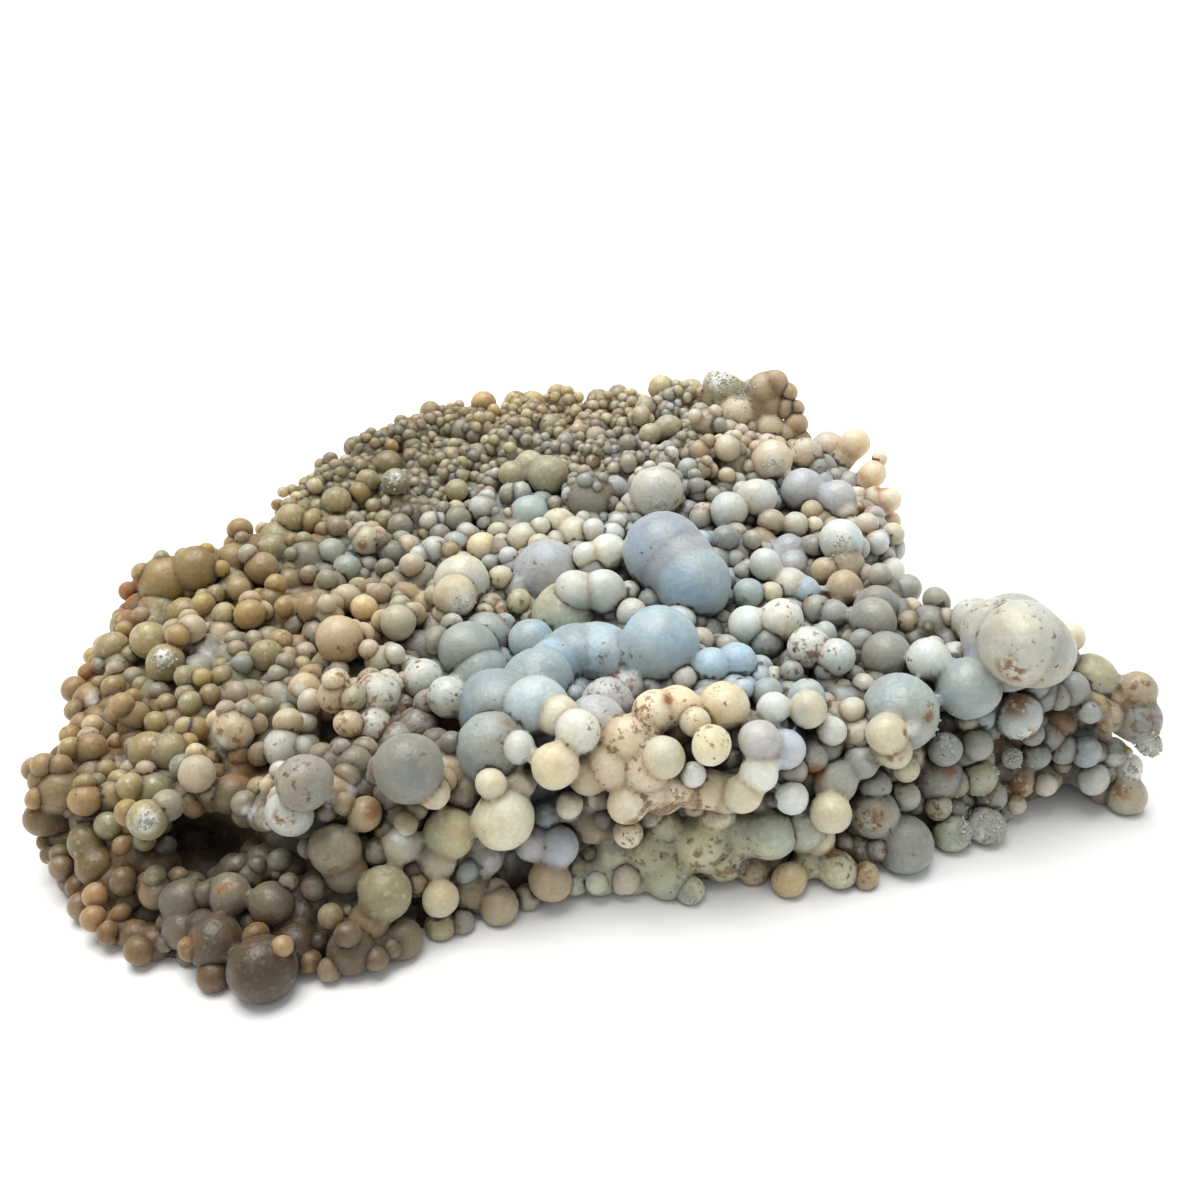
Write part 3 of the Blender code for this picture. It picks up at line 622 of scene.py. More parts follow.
def keep_largest(thing):
    """Delete every loose island except the largest."""
    mesh = bmesh.new()
    mesh.from_mesh(thing.data)
    unseen = set(mesh.verts)
    islands = []
    while unseen:
        island = [unseen.pop()]
        for vert in island:
            for edge in vert.link_edges:
                other = edge.other_vert(vert)
                if other in unseen:
                    unseen.remove(other)
                    island.append(other)
        islands.append(island)
    islands.sort(key=len)
    spare = [vert for island in islands[:-1] for vert in island]
    bmesh.ops.delete(mesh, geom=spare, context="VERTS")
    mesh.to_mesh(thing.data)
    mesh.free()


def cut_flat(thing, height):
    """Cut what is below a height off, and close the cut."""
    mesh = bmesh.new()
    mesh.from_mesh(thing.data)
    cut = bmesh.ops.bisect_plane(
        mesh,
        geom=mesh.verts[:] + mesh.edges[:] + mesh.faces[:],
        dist=1e-7,
        plane_co=(0.0, 0.0, height),
        plane_no=(0.0, 0.0, 1.0),
        clear_inner=True,
    )
    rim = [edge for edge in cut["geom_cut"] if isinstance(edge, bmesh.types.BMEdge)]
    bmesh.ops.triangle_fill(mesh, edges=rim, use_beauty=True, normal=(0.0, 0.0, -1.0))
    bmesh.ops.remove_doubles(mesh, verts=mesh.verts[:], dist=1e-6)
    gaps = [edge for edge in mesh.edges if edge.is_boundary]
    bmesh.ops.holes_fill(mesh, edges=gaps, sides=0)
    pinches = [edge for edge in mesh.edges if len(edge.link_faces) > 2]
    if pinches:
        bmesh.ops.collapse(mesh, edges=pinches)
    bmesh.ops.recalc_face_normals(mesh, faces=mesh.faces[:])
    if mesh.calc_volume(signed=True) < 0.0:
        bmesh.ops.reverse_faces(mesh, faces=mesh.faces[:])
    mesh.to_mesh(thing.data)
    mesh.free()


def grow(name, balls, detail, cell, triangles, softness=1.0, extra=None):
    """An object with one rounded skin round its balls, and the balls as arrays."""
    places = numpy.array([tuple(ball[0]) for ball in balls])
    sizes = numpy.array([ball[1] for ball in balls])
    fillets = numpy.array([crease_fillets[ball[2]] * softness for ball in balls])
    thing = joined_balls(name, balls, detail, extra)
    draw_skin(thing, cell, triangles)
    if extra is not None:
        keep_largest(thing)
    round_off(thing, places, sizes, fillets)
    make_uneven(thing)
    return thing, places, sizes


far_field = 26.0 * MM
far_shrink = 0.82
for index, (centre, radius, tint) in enumerate(lumps):
    if centre.y > far_field and centre.x < far_field and radius < 3.3 * MM:
        lumps[index] = (centre, radius * far_shrink, tint)
standing = [lumps[index] for index in standing_indexes]
seated = [lump for index, lump in enumerate(lumps) if index not in standing_indexes]
plate, seated_places, seated_sizes = grow(
    "agate_plate", seated, ball_detail, skin_cell, skin_triangles, extra=bed
)

# Standing lumps. The balls that stand on the others are not pressed flat by their neighbours,
# so they have the roundest skin, drawn finer. Their stems reach down into the plate.
standing_cell = 0.52 * MM
standing_triangles = 190000
standing_piece, standing_places, standing_sizes = grow(
    "standing_lumps", standing, ball_detail + 1, standing_cell, standing_triangles
)

# Small lumps. Balls of 2 to 5 mm grew on the larger ones, each half sunk in its host: the
# finest crowd the far field, the left shoulder is crusted with them, and elsewhere they fill
# what the large lumps leave bare. They are too many to be one skin and stay single balls.
centre_grains = (
    (500, 578, 4.3, 1, "C"),
)
left_of_centre_grains = (
    (364, 607, 4.3, 1, "P"), (400, 652, 3.0, 2, "W"), (295, 625, 3.6, 0, "L"), (374, 632, 4.0, 0, "T"),
    (310, 703, 3.9, 1, "P"), (288, 722, 4.1, 2, "C"), (262, 690, 3.0, 0, "L"), (232, 693, 4.2, 0, "T"),
    (286, 607, 4.2, 0, "T"), (276, 585, 3.6, 1, "Y"), (238, 588, 4.1, 1, "T"), (224, 613, 4.0, 1, "S"),
    (264, 827, 1.5, 2, "C"), (266, 785, 2.2, 1, "P"),
)
front_left_wall_and_foot_grains = (
    (308, 848, 3.0, 1, "G"), (378, 852, 4.2, 1, "G"), (314, 888, 3.2, 1, "L"), (292, 868, 4.0, 0, "G"),
    (277, 873, 1.4, 1, "W"), (256, 935, 3.5, 2, "Y"), (327, 914, 3.5, 2, "C"), (348, 912, 2.2, 1, "W"),
    (405, 912, 3.4, 0, "L"), (171, 803, 4.3, 2, "L"), (115, 808, 3.6, 2, "Y"), (172, 828, 3.0, 1, "L"),
    (145, 842, 3.2, 1, "S"), (157, 862, 3.5, 0, "G"), (128, 900, 3.8, 0, "L"), (118, 925, 4.0, 0, "T"),
    (152, 936, 3.5, 0, "T"), (208, 896, 4.2, 1, "G"), (189, 954, 3.2, 0, "T"), (97, 782, 2.7, 1, "G"),
    (66, 826, 2.4, 1, "T"), (120, 858, 4.0, 0, "T"), (189, 742, 2.7, 1, "Y"),
)
front_rim_and_wall_centre_grains = (
    (440, 926, 4.0, 0, "S"), (462, 922, 3.4, 0, "G"), (528, 897, 4.0, 0, "T"), (632, 836, 4.0, 2, "P"),
    (695, 774, 3.6, 2, "W"), (690, 890, 4.0, 1, "V"), (750, 870, 3.4, 0, "T"), (866, 876, 4.0, 0, "T"),
)
centre_right_grains = (
    (745, 690, 4.0, 0, "B"), (695, 722, 4.1, 2, "P"),
)
right_grains = (
    (912, 611, 4.1, 2, "C"), (910, 623, 3.9, 1, "T"), (928, 626, 2.1, 1, "C"), (852, 680, 4.3, 0, "G"),
    (834, 727, 4.1, 1, "W"), (855, 742, 4.0, 0, "G"), (938, 806, 4.0, 1, "S"), (915, 802, 4.0, 0, "T"),
    (1036, 755, 4.2, 1, "G"), (1012, 758, 3.2, 1, "D"), (1046, 768, 4.2, 0, "G"), (1062, 767, 2.7, 1, "T"),
)
right_wing_grains = (
    (1125, 752, 2.2, 1, "Y"), (1152, 750, 4.0, 1, "D"),
)
left_shoulder_grains = (
    (128, 612, 3.2, 0, "R"), (203, 605, 4.0, 1, "Y"), (89, 672, 3.2, 0, "R"), (125, 630, 3.0, 1, "Y"),
    (75, 710, 3.4, 1, "T"), (95, 724, 3.0, 1, "G"), (83, 726, 4.0, 0, "T"), (70, 736, 3.5, 0, "T"),
    (155, 722, 3.3, 1, "S"), (187, 716, 3.3, 2, "C"), (200, 726, 3.8, 1, "Y"), (185, 694, 2.8, 1, "C"),
)
back_left_grains = (
    (240, 530, 4.2, 0, "T"), (233, 544, 3.0, 1, "Y"), (252, 541, 2.7, 1, "T"), (263, 529, 2.7, 1, "P"),
    (292, 541, 2.3, 1, "Y"), (310, 522, 4.0, 1, "Y"), (323, 530, 3.0, 1, "T"), (312, 505, 4.0, 0, "T"),
    (278, 505, 2.4, 0, "R"), (283, 492, 2.2, 0, "P"), (292, 490, 2.4, 0, "P"), (355, 521, 3.5, 1, "L"),
    (385, 520, 3.4, 1, "S"), (360, 493, 3.8, 1, "Y"), (386, 501, 2.0, 1, "W"), (391, 428, 1.8, 1, "P"),
    (392, 446, 3.0, 1, "Y"), (375, 446, 3.4, 0, "T"), (410, 432, 2.2, 0, "T"), (412, 456, 3.0, 1, "T"),
)
back_centre_grains = (
    (508, 492, 3.8, 1, "S"), (521, 492, 4.1, 1, "S"), (440, 520, 3.0, 1, "W"), (430, 522, 3.7, 1, "W"),
    (455, 545, 4.3, 1, "B"), (467, 533, 4.0, 1, "W"), (540, 527, 3.4, 2, "C"), (595, 530, 4.0, 2, "W"),
    (612, 535, 4.3, 1, "W"), (491, 485, 3.5, 0, "S"), (615, 425, 2.3, 1, "P"), (619, 415, 2.8, 0, "G"),
    (628, 413, 2.4, 0, "S"), (636, 417, 2.6, 0, "T"), (641, 424, 2.6, 0, "S"), (632, 424, 3.0, 0, "G"),
    (623, 425, 3.2, 0, "S"), (615, 424, 2.6, 0, "M"), (618, 433, 2.8, 0, "G"), (627, 434, 2.6, 0, "S"),
    (636, 432, 2.4, 0, "G"), (478, 468, 2.4, 0, "G"), (486, 471, 2.6, 0, "M"), (494, 467, 2.4, 0, "G"),
    (474, 477, 2.4, 0, "T"), (483, 480, 2.6, 0, "G"), (491, 477, 2.6, 0, "Z"), (497, 484, 2.4, 0, "G"),
    (487, 488, 2.2, 0, "M"), (431, 494, 2.2, 0, "G"), (438, 498, 2.4, 0, "S"), (434, 504, 2.4, 0, "G"),
    (443, 492, 2.2, 0, "T"), (446, 500, 2.2, 0, "G"), (546, 408, 2.2, 0, "T"), (553, 411, 2.4, 0, "G"),
    (548, 416, 2.4, 0, "S"), (556, 419, 2.2, 0, "G"), (542, 421, 2.2, 0, "T"),
)
back_right_ridge_grains = (
    (788, 392, 3.6, 1, "T"), (795, 400, 3.2, 1, "T"), (762, 398, 3.2, 2, "P"), (690, 393, 2.8, 1, "T"),
    (702, 392, 2.4, 1, "T"), (648, 400, 3.2, 1, "S"), (670, 403, 2.4, 1, "S"), (626, 442, 3.7, 1, "S"),
    (785, 408, 4.3, 1, "T"), (668, 447, 3.3, 1, "G"), (685, 468, 4.0, 1, "B"), (628, 463, 3.6, 1, "G"),
    (625, 510, 3.4, 1, "C"), (735, 560, 4.2, 0, "L"), (752, 540, 3.7, 0, "G"), (880, 458, 3.1, 1, "P"),
    (857, 507, 3.1, 1, "P"), (858, 548, 4.3, 1, "W"),
)
small_lumps = (
    centre_grains,
    left_of_centre_grains,
    front_left_wall_and_foot_grains,
    front_rim_and_wall_centre_grains,
    centre_right_grains,
    right_grains,
    right_wing_grains,
    left_shoulder_grains,
    back_left_grains,
    back_centre_grains,
    back_right_ridge_grains,
)
grain_seed = 5
grain_tries = 165000
grain_spacing = 0.76
fused_spacing = 0.14
grain_block = 6.0 * MM
grain_squash = 0.10
clear_share_fused = 1.0
clear_share_standing = 0.85
clear_share_seated = 0.45
fused_tints = "BNLVMS"
stray_tint_share = 0.5
left_tints = "PHHOTZZSNL"
middle_tints = "WCCNNGGZHM"
clear_depth = 9.0 * MM
largest_reach = 7.0 * MM
lump_tree = KDTree(len(lumps))
for index, (centre, radius, tint) in enumerate(lumps):
    lump_tree.insert(centre, index)
lump_tree.balance()
crowd_blocks = {}
seen_away = numpy.linalg.norm(seen_centres - numpy.array(tuple(eye)), axis=1)
seen_sights = (seen_centres - numpy.array(tuple(eye))) / seen_away[:, None]
seen_breadths = numpy.array([lump[1] for lump in lumps[:len(seen_centres)]]) / seen_away
stands = numpy.isin(numpy.arange(len(seen_centres)), standing_indexes)
seen_breadths *= numpy.where(stands, clear_share_standing, clear_share_seated)
fused = numpy.array([lump[2] in fused_tints for lump in lumps[:len(seen_centres)]])
seen_breadths[fused] *= clear_share_fused / numpy.where(stands, clear_share_standing, clear_share_seated)[fused]


def gaps_to_lumps(centre):
    """How far a place is from the skins of the lumps round it, nearest first."""
    found = lump_tree.find_range(centre, largest_reach + grain_block)
    return sorted((away - lumps[index][1], index) for _, index, away in found)


def block_of(centre):
    """The block of space that a place lies in."""
    return tuple(int(part // grain_block) for part in centre)


def is_crowded(centre, radius, spacing):
    """Whether a grain would lie too deep in another one."""
    across, along, level = block_of(centre)
    for step in itertools.product((-1, 0, 1), repeat=3):
        block = (across + step[0], along + step[1], level + step[2])
        for other_centre, other_radius in crowd_blocks.get(block, ()):
            if (other_centre - centre).length < (other_radius + radius) * spacing:
                return True
    return False


def hides_lump(centre):
    """Whether a grain would stand before the face of a lump that is told apart in the view."""
    sight = numpy.array(tuple(centre - eye))
    away = numpy.linalg.norm(sight)
    offset = numpy.linalg.norm(numpy.cross(seen_sights, sight / away), axis=1)
    behind = seen_away - away
    return bool(numpy.any((offset < seen_breadths) & (behind > 0.0) & (behind < clear_depth)))


def region_of(centre):
    """How far back and how far left a place lies, each from 0 to 1."""
    far = min(1.0, max(0.0, (centre.y - 14.0 * MM) / (16.0 * MM)))
    far *= 1.0 - 0.8 * min(1.0, max(0.0, (centre.x - 14.0 * MM) / (24.0 * MM)))
    left = min(1.0, max(0.0, (-centre.x - 16.0 * MM) / (24.0 * MM)))
    return far, left * (1.0 - far)


def grain_widths(far, left, hidden):
    """Narrowest and widest grain of a region."""
    if hidden:
        return 3.6, 5.6
    return 3.2 - 1.4 * far - 0.5 * left, 5.2 - 2.4 * far - 1.3 * left


grain_groups = {"small_lumps": [], "far_grains": [], "left_grains": []}
grain_limits = {"small_lumps": 610, "far_grains": 2400, "left_grains": 610}


def add_grain(centre, radius, tint):
    """Keep a grain with those of its region, if there is room for more."""
    far, left = region_of(centre)
    name = "far_grains" if far > 0.5 else "left_grains" if left > 0.25 else "small_lumps"
    if len(grain_groups[name]) < grain_limits[name]:
        grain_groups[name].append((centre, radius, tint))
        crowd_blocks.setdefault(block_of(centre), []).append((centre, radius))


for group in small_lumps:
    for column, row, width_mm, storey, tint in group:
        centre, root = seat_lump(column, row, width_mm * MM, storey)
        radius = width_mm * MM / 2
        gap, host = gaps_to_lumps(centre)[0]
        if storey and gap > radius * 0.4:
            centre += (lumps[host][0] - centre).normalized() * (gap - radius * 0.4)
        add_grain(centre, radius, tint)

grain_rng = random.Random(grain_seed)
host_weight = numpy.cumsum([lump[1] ** 2 for lump in lumps])
for _ in range(grain_tries):
    host = int(numpy.searchsorted(host_weight, grain_rng.random() * host_weight[-1]))
    turn = grain_rng.uniform(0.0, 2.0 * math.pi)
    rise = grain_rng.uniform(-0.3, 1.0)
    flat = math.sqrt(1.0 - rise * rise)
    outward = Vector((flat * math.cos(turn), flat * math.sin(turn), rise))
    host_centre, host_radius, tint = lumps[host]
    surface = host_centre + outward * host_radius
    far, left = region_of(surface)
    told_apart = host < len(seen_centres)
    keeps_bare = told_apart and (tint in fused_tints or stands[host] and max(far, left) < 0.5)
    if keeps_bare:
        continue
    hidden = outward.dot(eye - surface) < 0.0 and (surface.y > 40.0 * MM or surface.z < 14.0 * MM)
    if grain_rng.random() > (0.1 if told_apart else 0.45) + 0.55 * max(far, left) - 0.3 * hidden:
        continue
    radius = grain_rng.uniform(*grain_widths(far, left, hidden)) * MM / 2
    centre = surface + outward * (radius * (grain_rng.uniform(-0.3, 0.4) - 0.25 * far))
    spacing = grain_spacing - fused_spacing * max(far, 0.6 * left)
    if centre.z < radius or is_crowded(centre, radius, spacing):
        continue
    gaps = gaps_to_lumps(centre)
    if gaps[0][0] < -radius * 0.5 or len(gaps) < 2:
        continue
    if told_apart and max(far, left) < 0.6 and gaps[1][0] > radius * 0.5:
        continue
    bare = max(share for share, _ in hollow_depths(centre)) > 0.6
    if (bare and not told_apart) or hides_lump(centre):
        continue
    if grain_rng.random() < stray_tint_share:
        tint = grain_rng.choice(left_tints if left > 0.3 else middle_tints)
    add_grain(centre, radius, tint)


def scatter_balls(name, balls, detail, seed):
    """One object of single balls, each a little squashed, and turned its own way."""
    ball_rng = random.Random(seed)
    ball_corners, ball_faces = unit_ball(detail)
    corners = []
    for centre, radius, _ in balls:
        axes = [radius * ball_rng.uniform(1.0 - grain_squash, 1.0 + grain_squash) for _ in range(3)]
        turn = Euler([ball_rng.uniform(0.0, math.pi) for _ in range(3)]).to_matrix()
        spread = numpy.array(turn) * numpy.array(axes)
        corners.append(ball_corners @ spread.T + numpy.array(tuple(centre)))
    starts = numpy.arange(len(balls)) * len(ball_corners)
    faces = (ball_faces[None] + starts[:, None, None]).reshape(-1, 3)
    data = bpy.data.meshes.new(name)
    data.from_pydata(numpy.vstack(corners).tolist(), [], faces.tolist())
    thing = bpy.data.objects.new(name, data)
    bpy.context.scene.collection.objects.link(thing)
    return thing


grain_pieces = {
    "small_lumps": scatter_balls("small_lumps", grain_groups["small_lumps"], 3, 51),
    "far_grains": scatter_balls("far_grains", grain_groups["far_grains"], 2, 52),
    "left_grains": scatter_balls("left_grains", grain_groups["left_grains"], 3, 53),
}
bed.free()

# The cut. Plate and grains are set on the table: what hung below the saw's cut is gone, and
# the specimen stands on the flat that it leaves.
cut_height = 0.3 * MM
for piece in (plate, standing_piece, *grain_pieces.values()):
    cut_flat(piece, cut_height)
    points = coordinates(piece) + numpy.array(tuple(plate_shift))
    piece.data.vertices.foreach_set("co", points.ravel())
    piece.data.update()
    make_active(piece)
    bpy.ops.object.shade_smooth()

# Stains, broken spots and painted shade on every piece. Each lump has its own tint, a shade
# lighter or darker than its neighbours'. Iron has stained some joints orange brown, dirt and
# painted shade darken the creases, and where a lump was knocked its broken skin is frosty
# white. Lumps in the hollows and at the foot of the left wall are painted darker as shade, and
# how open each corner is is kept for the painted shade of deep gaps.
tint_colours = {
    "W": (0.64, 0.68, 0.64),
    "C": (0.62, 0.565, 0.405),
    "P": (0.70, 0.60, 0.44),
    "Y": (0.43, 0.34, 0.14),
    "B": (0.345, 0.48, 0.57),
    "N": (0.25, 0.325, 0.355),
    "L": (0.40, 0.435, 0.50),
    "M": (0.465, 0.47, 0.41),
    "G": (0.22, 0.24, 0.235),
    "S": (0.38, 0.38, 0.25),
    "V": (0.42, 0.45, 0.32),
    "T": (0.36, 0.275, 0.16),
    "D": (0.36, 0.37, 0.31),
    # K is a near-black tint for lumps at the foot and in dark gaps: partly dark dirt, partly painted shade.
    "K": (0.10, 0.075, 0.045),
    "R": (0.26, 0.15, 0.06),
    "H": (0.54, 0.455, 0.375),
    "O": (0.47, 0.39, 0.18),
    "Z": (0.31, 0.29, 0.29),
}
fused_creases = {"B": 0.35, "N": 0.5, "L": 0.5, "M": 0.5, "S": 0.6, "V": 0.2}
cut_colour = (0.20, 0.17, 0.13)
far_colours = (
    (0.23, 0.215, 0.185), (0.28, 0.245, 0.175), (0.35, 0.30, 0.165), (0.50, 0.43, 0.29),
)
skyline_colour = (0.54, 0.39, 0.14)
foot_painted_shade = (0.56, 0.48, 0.38)
pale_left_shade = (0.78, 0.76, 0.72)
dull_left_shade = (0.72, 0.67, 0.54)
cave_painted_shade = 0.7
rust_spots = (
    (338, 648, 1.3), (1012, 671, 3.0), (1000, 605, 1.6), (90, 672, 5.0), (136, 596, 6.0),
    (128, 612, 4.0), (110, 748, 2.5), (120, 860, 2.0), (72, 856, 1.2), (240, 765, 4.5),
    (262, 775, 3.0), (318, 712, 2.5), (282, 818, 1.8), (372, 812, 1.6), (364, 868, 1.4),
    (224, 890, 1.6), (256, 925, 1.6), (838, 854, 2.2), (855, 862, 1.6), (893, 757, 1.8),
    (930, 716, 1.2), (950, 768, 2.0), (940, 812, 1.6), (1005, 742, 2.0), (1028, 735, 2.0),
    (1062, 722, 3.0), (595, 455, 1.5), (862, 507, 2.5), (1015, 702, 3.0), (316, 535, 1.5),
    (112, 920, 2.0), (870, 820, 2.5), (812, 772, 2.5), (1015, 785, 3.0), (1120, 790, 2.0),
    (190, 945, 2.0), (575, 882, 1.6), (362, 545, 1.2), (398, 485, 1.5), (882, 488, 2.0),
    (668, 700, 1.0), (690, 715, 1.0), (634, 822, 1.2), (618, 672, 0.6), (905, 735, 1.2),
    (1100, 725, 2.0), (868, 535, 2.0), (806, 600, 1.2), (828, 640, 1.0), (745, 560, 1.0),
)
frost_spots = (
    (462, 604, 3.0), (657, 506, 2.6), (1130, 768, 3.0), (698, 774, 2.2), (402, 835, 1.6),
    (353, 788, 1.6), (124, 702, 2.4), (112, 718, 1.8), (163, 656, 1.6), (720, 380, 2.8),
    (842, 541, 2.0), (147, 822, 2.0), (396, 478, 1.6), (983, 830, 3.0), (1150, 750, 2.4),
    (1012, 755, 2.4), (912, 728, 1.6), (612, 450, 1.2), (698, 503, 1.2), (772, 466, 1.6),
    (205, 652, 1.4), (176, 706, 1.6), (300, 690, 1.2), (250, 812, 1.4), (222, 742, 1.2),
    (118, 762, 1.2), (330, 800, 1.2), (92, 700, 1.2),
)


def hit_place(tree, column, row):
    """Where the line of sight through a place of the view meets the finished plate."""
    start = eye + plate_shift
    place, normal, _, _ = tree.ray_cast(start, line_of_sight(column, row))
    return place, normal


def spot_amounts(points, spots, tree):
    """How strongly each point is marked by round spots that fade at their edges."""
    amount = numpy.zeros(len(points))
    for column, row, width in spots:
        place, _ = hit_place(tree, column, row)
        if place is None:
            continue
        away = numpy.linalg.norm(points - numpy.array(tuple(place)), axis=1)
        amount = numpy.maximum(amount, numpy.clip(1.4 - away / (width * MM) * 1.4, 0.0, 1.0))
    return amount


def lump_colours(balls, seed):
    """A colour for each lump: its tint mixed with its neighbours', a shade lighter or darker."""
    shade_rng = random.Random(seed)
    colours = []
    own = numpy.array([tint_colours[tint] for _, _, tint in balls])
    spots = numpy.array([tuple(ball[0]) for ball in balls])
    for index, (centre, _, tint) in enumerate(balls):
        away = ((spots - spots[index]) ** 2).sum(1)
        weight = numpy.exp(-away / (2.0 * (6.0 * MM) ** 2))
        around = (own * weight[:, None]).sum(0) / weight.sum()
        colour = own[index] * 0.6 + around * 0.4
        far = min(1.0, max(0.0, (centre.y - 20.0 * MM) / (20.0 * MM)))
        far *= min(1.0, max(0.0, (22.0 * MM - centre.x) / (16.0 * MM)))
        sky = min(1.0, max(0.0, (centre.y - 44.0 * MM) / (10.0 * MM))) * shade_rng.random()
        distant = numpy.array(far_colours[int(len(far_colours) * shade_rng.random() ** 1.4)])
        distant = distant * (1.0 - sky) + numpy.array(skyline_colour) * sky
        colour = colour * (1.0 - 0.8 * far) + distant * (0.8 * far)
        left = min(1.0, max(0.0, (-14.0 * MM - centre.x) / (24.0 * MM)))
        left_shade = pale_left_shade if tint in "WCPH" else dull_left_shade
        colour = colour * (1.0 - left + numpy.array(left_shade) * left)
        # Painted shade: at the left end the lumps grow darker and browner towards the table, where the foot
        # lies in shade.
        foot = min(1.0, max(0.0, (-28.0 * MM - centre.x) / (10.0 * MM)))
        foot *= min(1.0, max(0.0, (13.0 * MM - centre.z) / (6.0 * MM)))
        colour = colour * (1.0 - foot + numpy.array(foot_painted_shade) * foot)
        # Painted shade: lumps inside the hollows are darkened, as the hollows lie in shade.
        sunk = max(0.0, max(share for share, _ in hollow_depths(centre)))
        colour = colour * (1.0 - cave_painted_shade * sunk)
        colour = colour * shade_rng.uniform(0.88, 1.12)
        warmth = shade_rng.uniform(-0.03, 0.03 + 0.09 * left)
        colours.append(colour * numpy.array((1.0 + warmth, 1.0, 1.0 - warmth)))
    return numpy.array(colours)


open_cell = 0.8 * MM
open_start = 0.5 * MM
open_reach = 12.0 * MM


def openness(thing, points, tree):
    """How much of the room round each corner is clear of other lumps, cell by cell."""
    normals = numpy.empty(len(points) * 3)
    thing.data.vertices.foreach_get("normal", normals)
    normals = normals.reshape(-1, 3)
    rays = [Vector((0.0, 0.0, 1.0))]
    for rise, count in ((0.7, 4), (0.2, 6)):
        for index in range(count):
            turn = 2.0 * math.pi * (index + rise) / count
            flat = math.sqrt(1.0 - rise * rise)
            rays.append(Vector((flat * math.cos(turn), flat * math.sin(turn), rise)))
    cells = numpy.column_stack((numpy.rint(points / open_cell), numpy.rint(normals))).astype(int)
    _, firsts, members = numpy.unique(cells, axis=0, return_index=True, return_inverse=True)
    clear = numpy.zeros(len(firsts))
    for cell, first in enumerate(firsts):
        start = Vector(points[first] + normals[first] * open_start)
        for ray in rays:
            if tree.ray_cast(start, ray, open_reach)[0] is None:
                clear[cell] += 1.0 / len(rays)
    return clear[members.ravel()]


def paint(thing, tree):
    """Write a piece's tints, its openness for painted shade and its marks as attributes of its corners."""
    points = coordinates(thing)
    _, _, nearest, lead = nearest_balls(points, every_place, every_size, even_fillet)
    colours = every_colour[nearest]
    flat = points[:, 2] < 0.05 * MM
    colours[flat] = cut_colour
    marks = numpy.zeros((len(points), 4))
    marks[:, 0] = numpy.exp(-lead / (0.45 * MM)) * every_crease[nearest]
    marks[:, 1] = every_druse_glint[nearest]
    marks[:, 2] = spot_amounts(points, rust_spots, tree)
    marks[:, 3] = spot_amounts(points, frost_spots, tree)
    tint = thing.data.color_attributes.new("tint", "FLOAT_COLOR", "POINT")
    # How open each corner is rides in the tint's alpha, for the painted shade of deep gaps.
    open_share = openness(thing, points, tree)
    tint.data.foreach_set("color", numpy.column_stack((colours, open_share)).ravel())
    mark = thing.data.color_attributes.new("marks", "FLOAT_COLOR", "POINT")
    mark.data.foreach_set("color", marks.ravel())


def surface_tree(things):
    """Tree of the faces of objects, for lines of sight."""
    corners = []
    faces = []
    for thing in things:
        start = len(corners)
        thing.data.calc_loop_triangles()
        corners.extend(tuple(vert.co) for vert in thing.data.vertices)
        for triangle in thing.data.loop_triangles:
            faces.append(tuple(start + corner for corner in triangle.vertices))
    return BVHTree.FromPolygons(corners, faces)


every_ball = lumps + [grain for group in grain_groups.values() for grain in group]
every_place = numpy.array([tuple(ball[0] + plate_shift) for ball in every_ball])
every_size = numpy.array([ball[1] for ball in every_ball])
even_fillet = numpy.full(len(every_ball), 0.1 * MM)
every_colour = lump_colours(every_ball, 31)
every_crease = numpy.array([fused_creases.get(ball[2], 1.0) for ball in every_ball])
druzy = {"D": 1.0, "S": 0.35, "V": 0.2}
every_druse_glint = numpy.array([druzy.get(ball[2], 0.0) for ball in every_ball])
plate_tree = surface_tree((plate, standing_piece, grain_pieces["small_lumps"]))
for piece in (plate, standing_piece, *grain_pieces.values()):
    paint(piece, plate_tree)


class Wire:
    """A socket of a finish's nodes that can be used in sums."""

    def __init__(self, finish, socket):
        self.finish = finish
        self.socket = socket

    def maths(self, operation, first, second):
        """A Math node on two values."""
        return self.finish.node("ShaderNodeMath", {"operation": operation}, {0: first, 1: second})

    def __add__(self, other):
        return self.maths("ADD", self, other)

    def __radd__(self, other):
        return self.maths("ADD", other, self)

    def __sub__(self, other):
        return self.maths("SUBTRACT", self, other)

    def __rsub__(self, other):
        return self.maths("SUBTRACT", other, self)

    def __mul__(self, other):
        return self.maths("MULTIPLY", self, other)

    def __rmul__(self, other):
        return self.maths("MULTIPLY", other, self)

    def other_output(self, number):
        """Another socket of the same node."""
        return Wire(self.finish, self.socket.node.outputs[number])

    def clamped(self):
        """The value, kept between 0 and 1."""
        settings = {"operation": "ADD", "use_clamp": True}
        return self.finish.node("ShaderNodeMath", settings, {0: self, 1: 0.0})


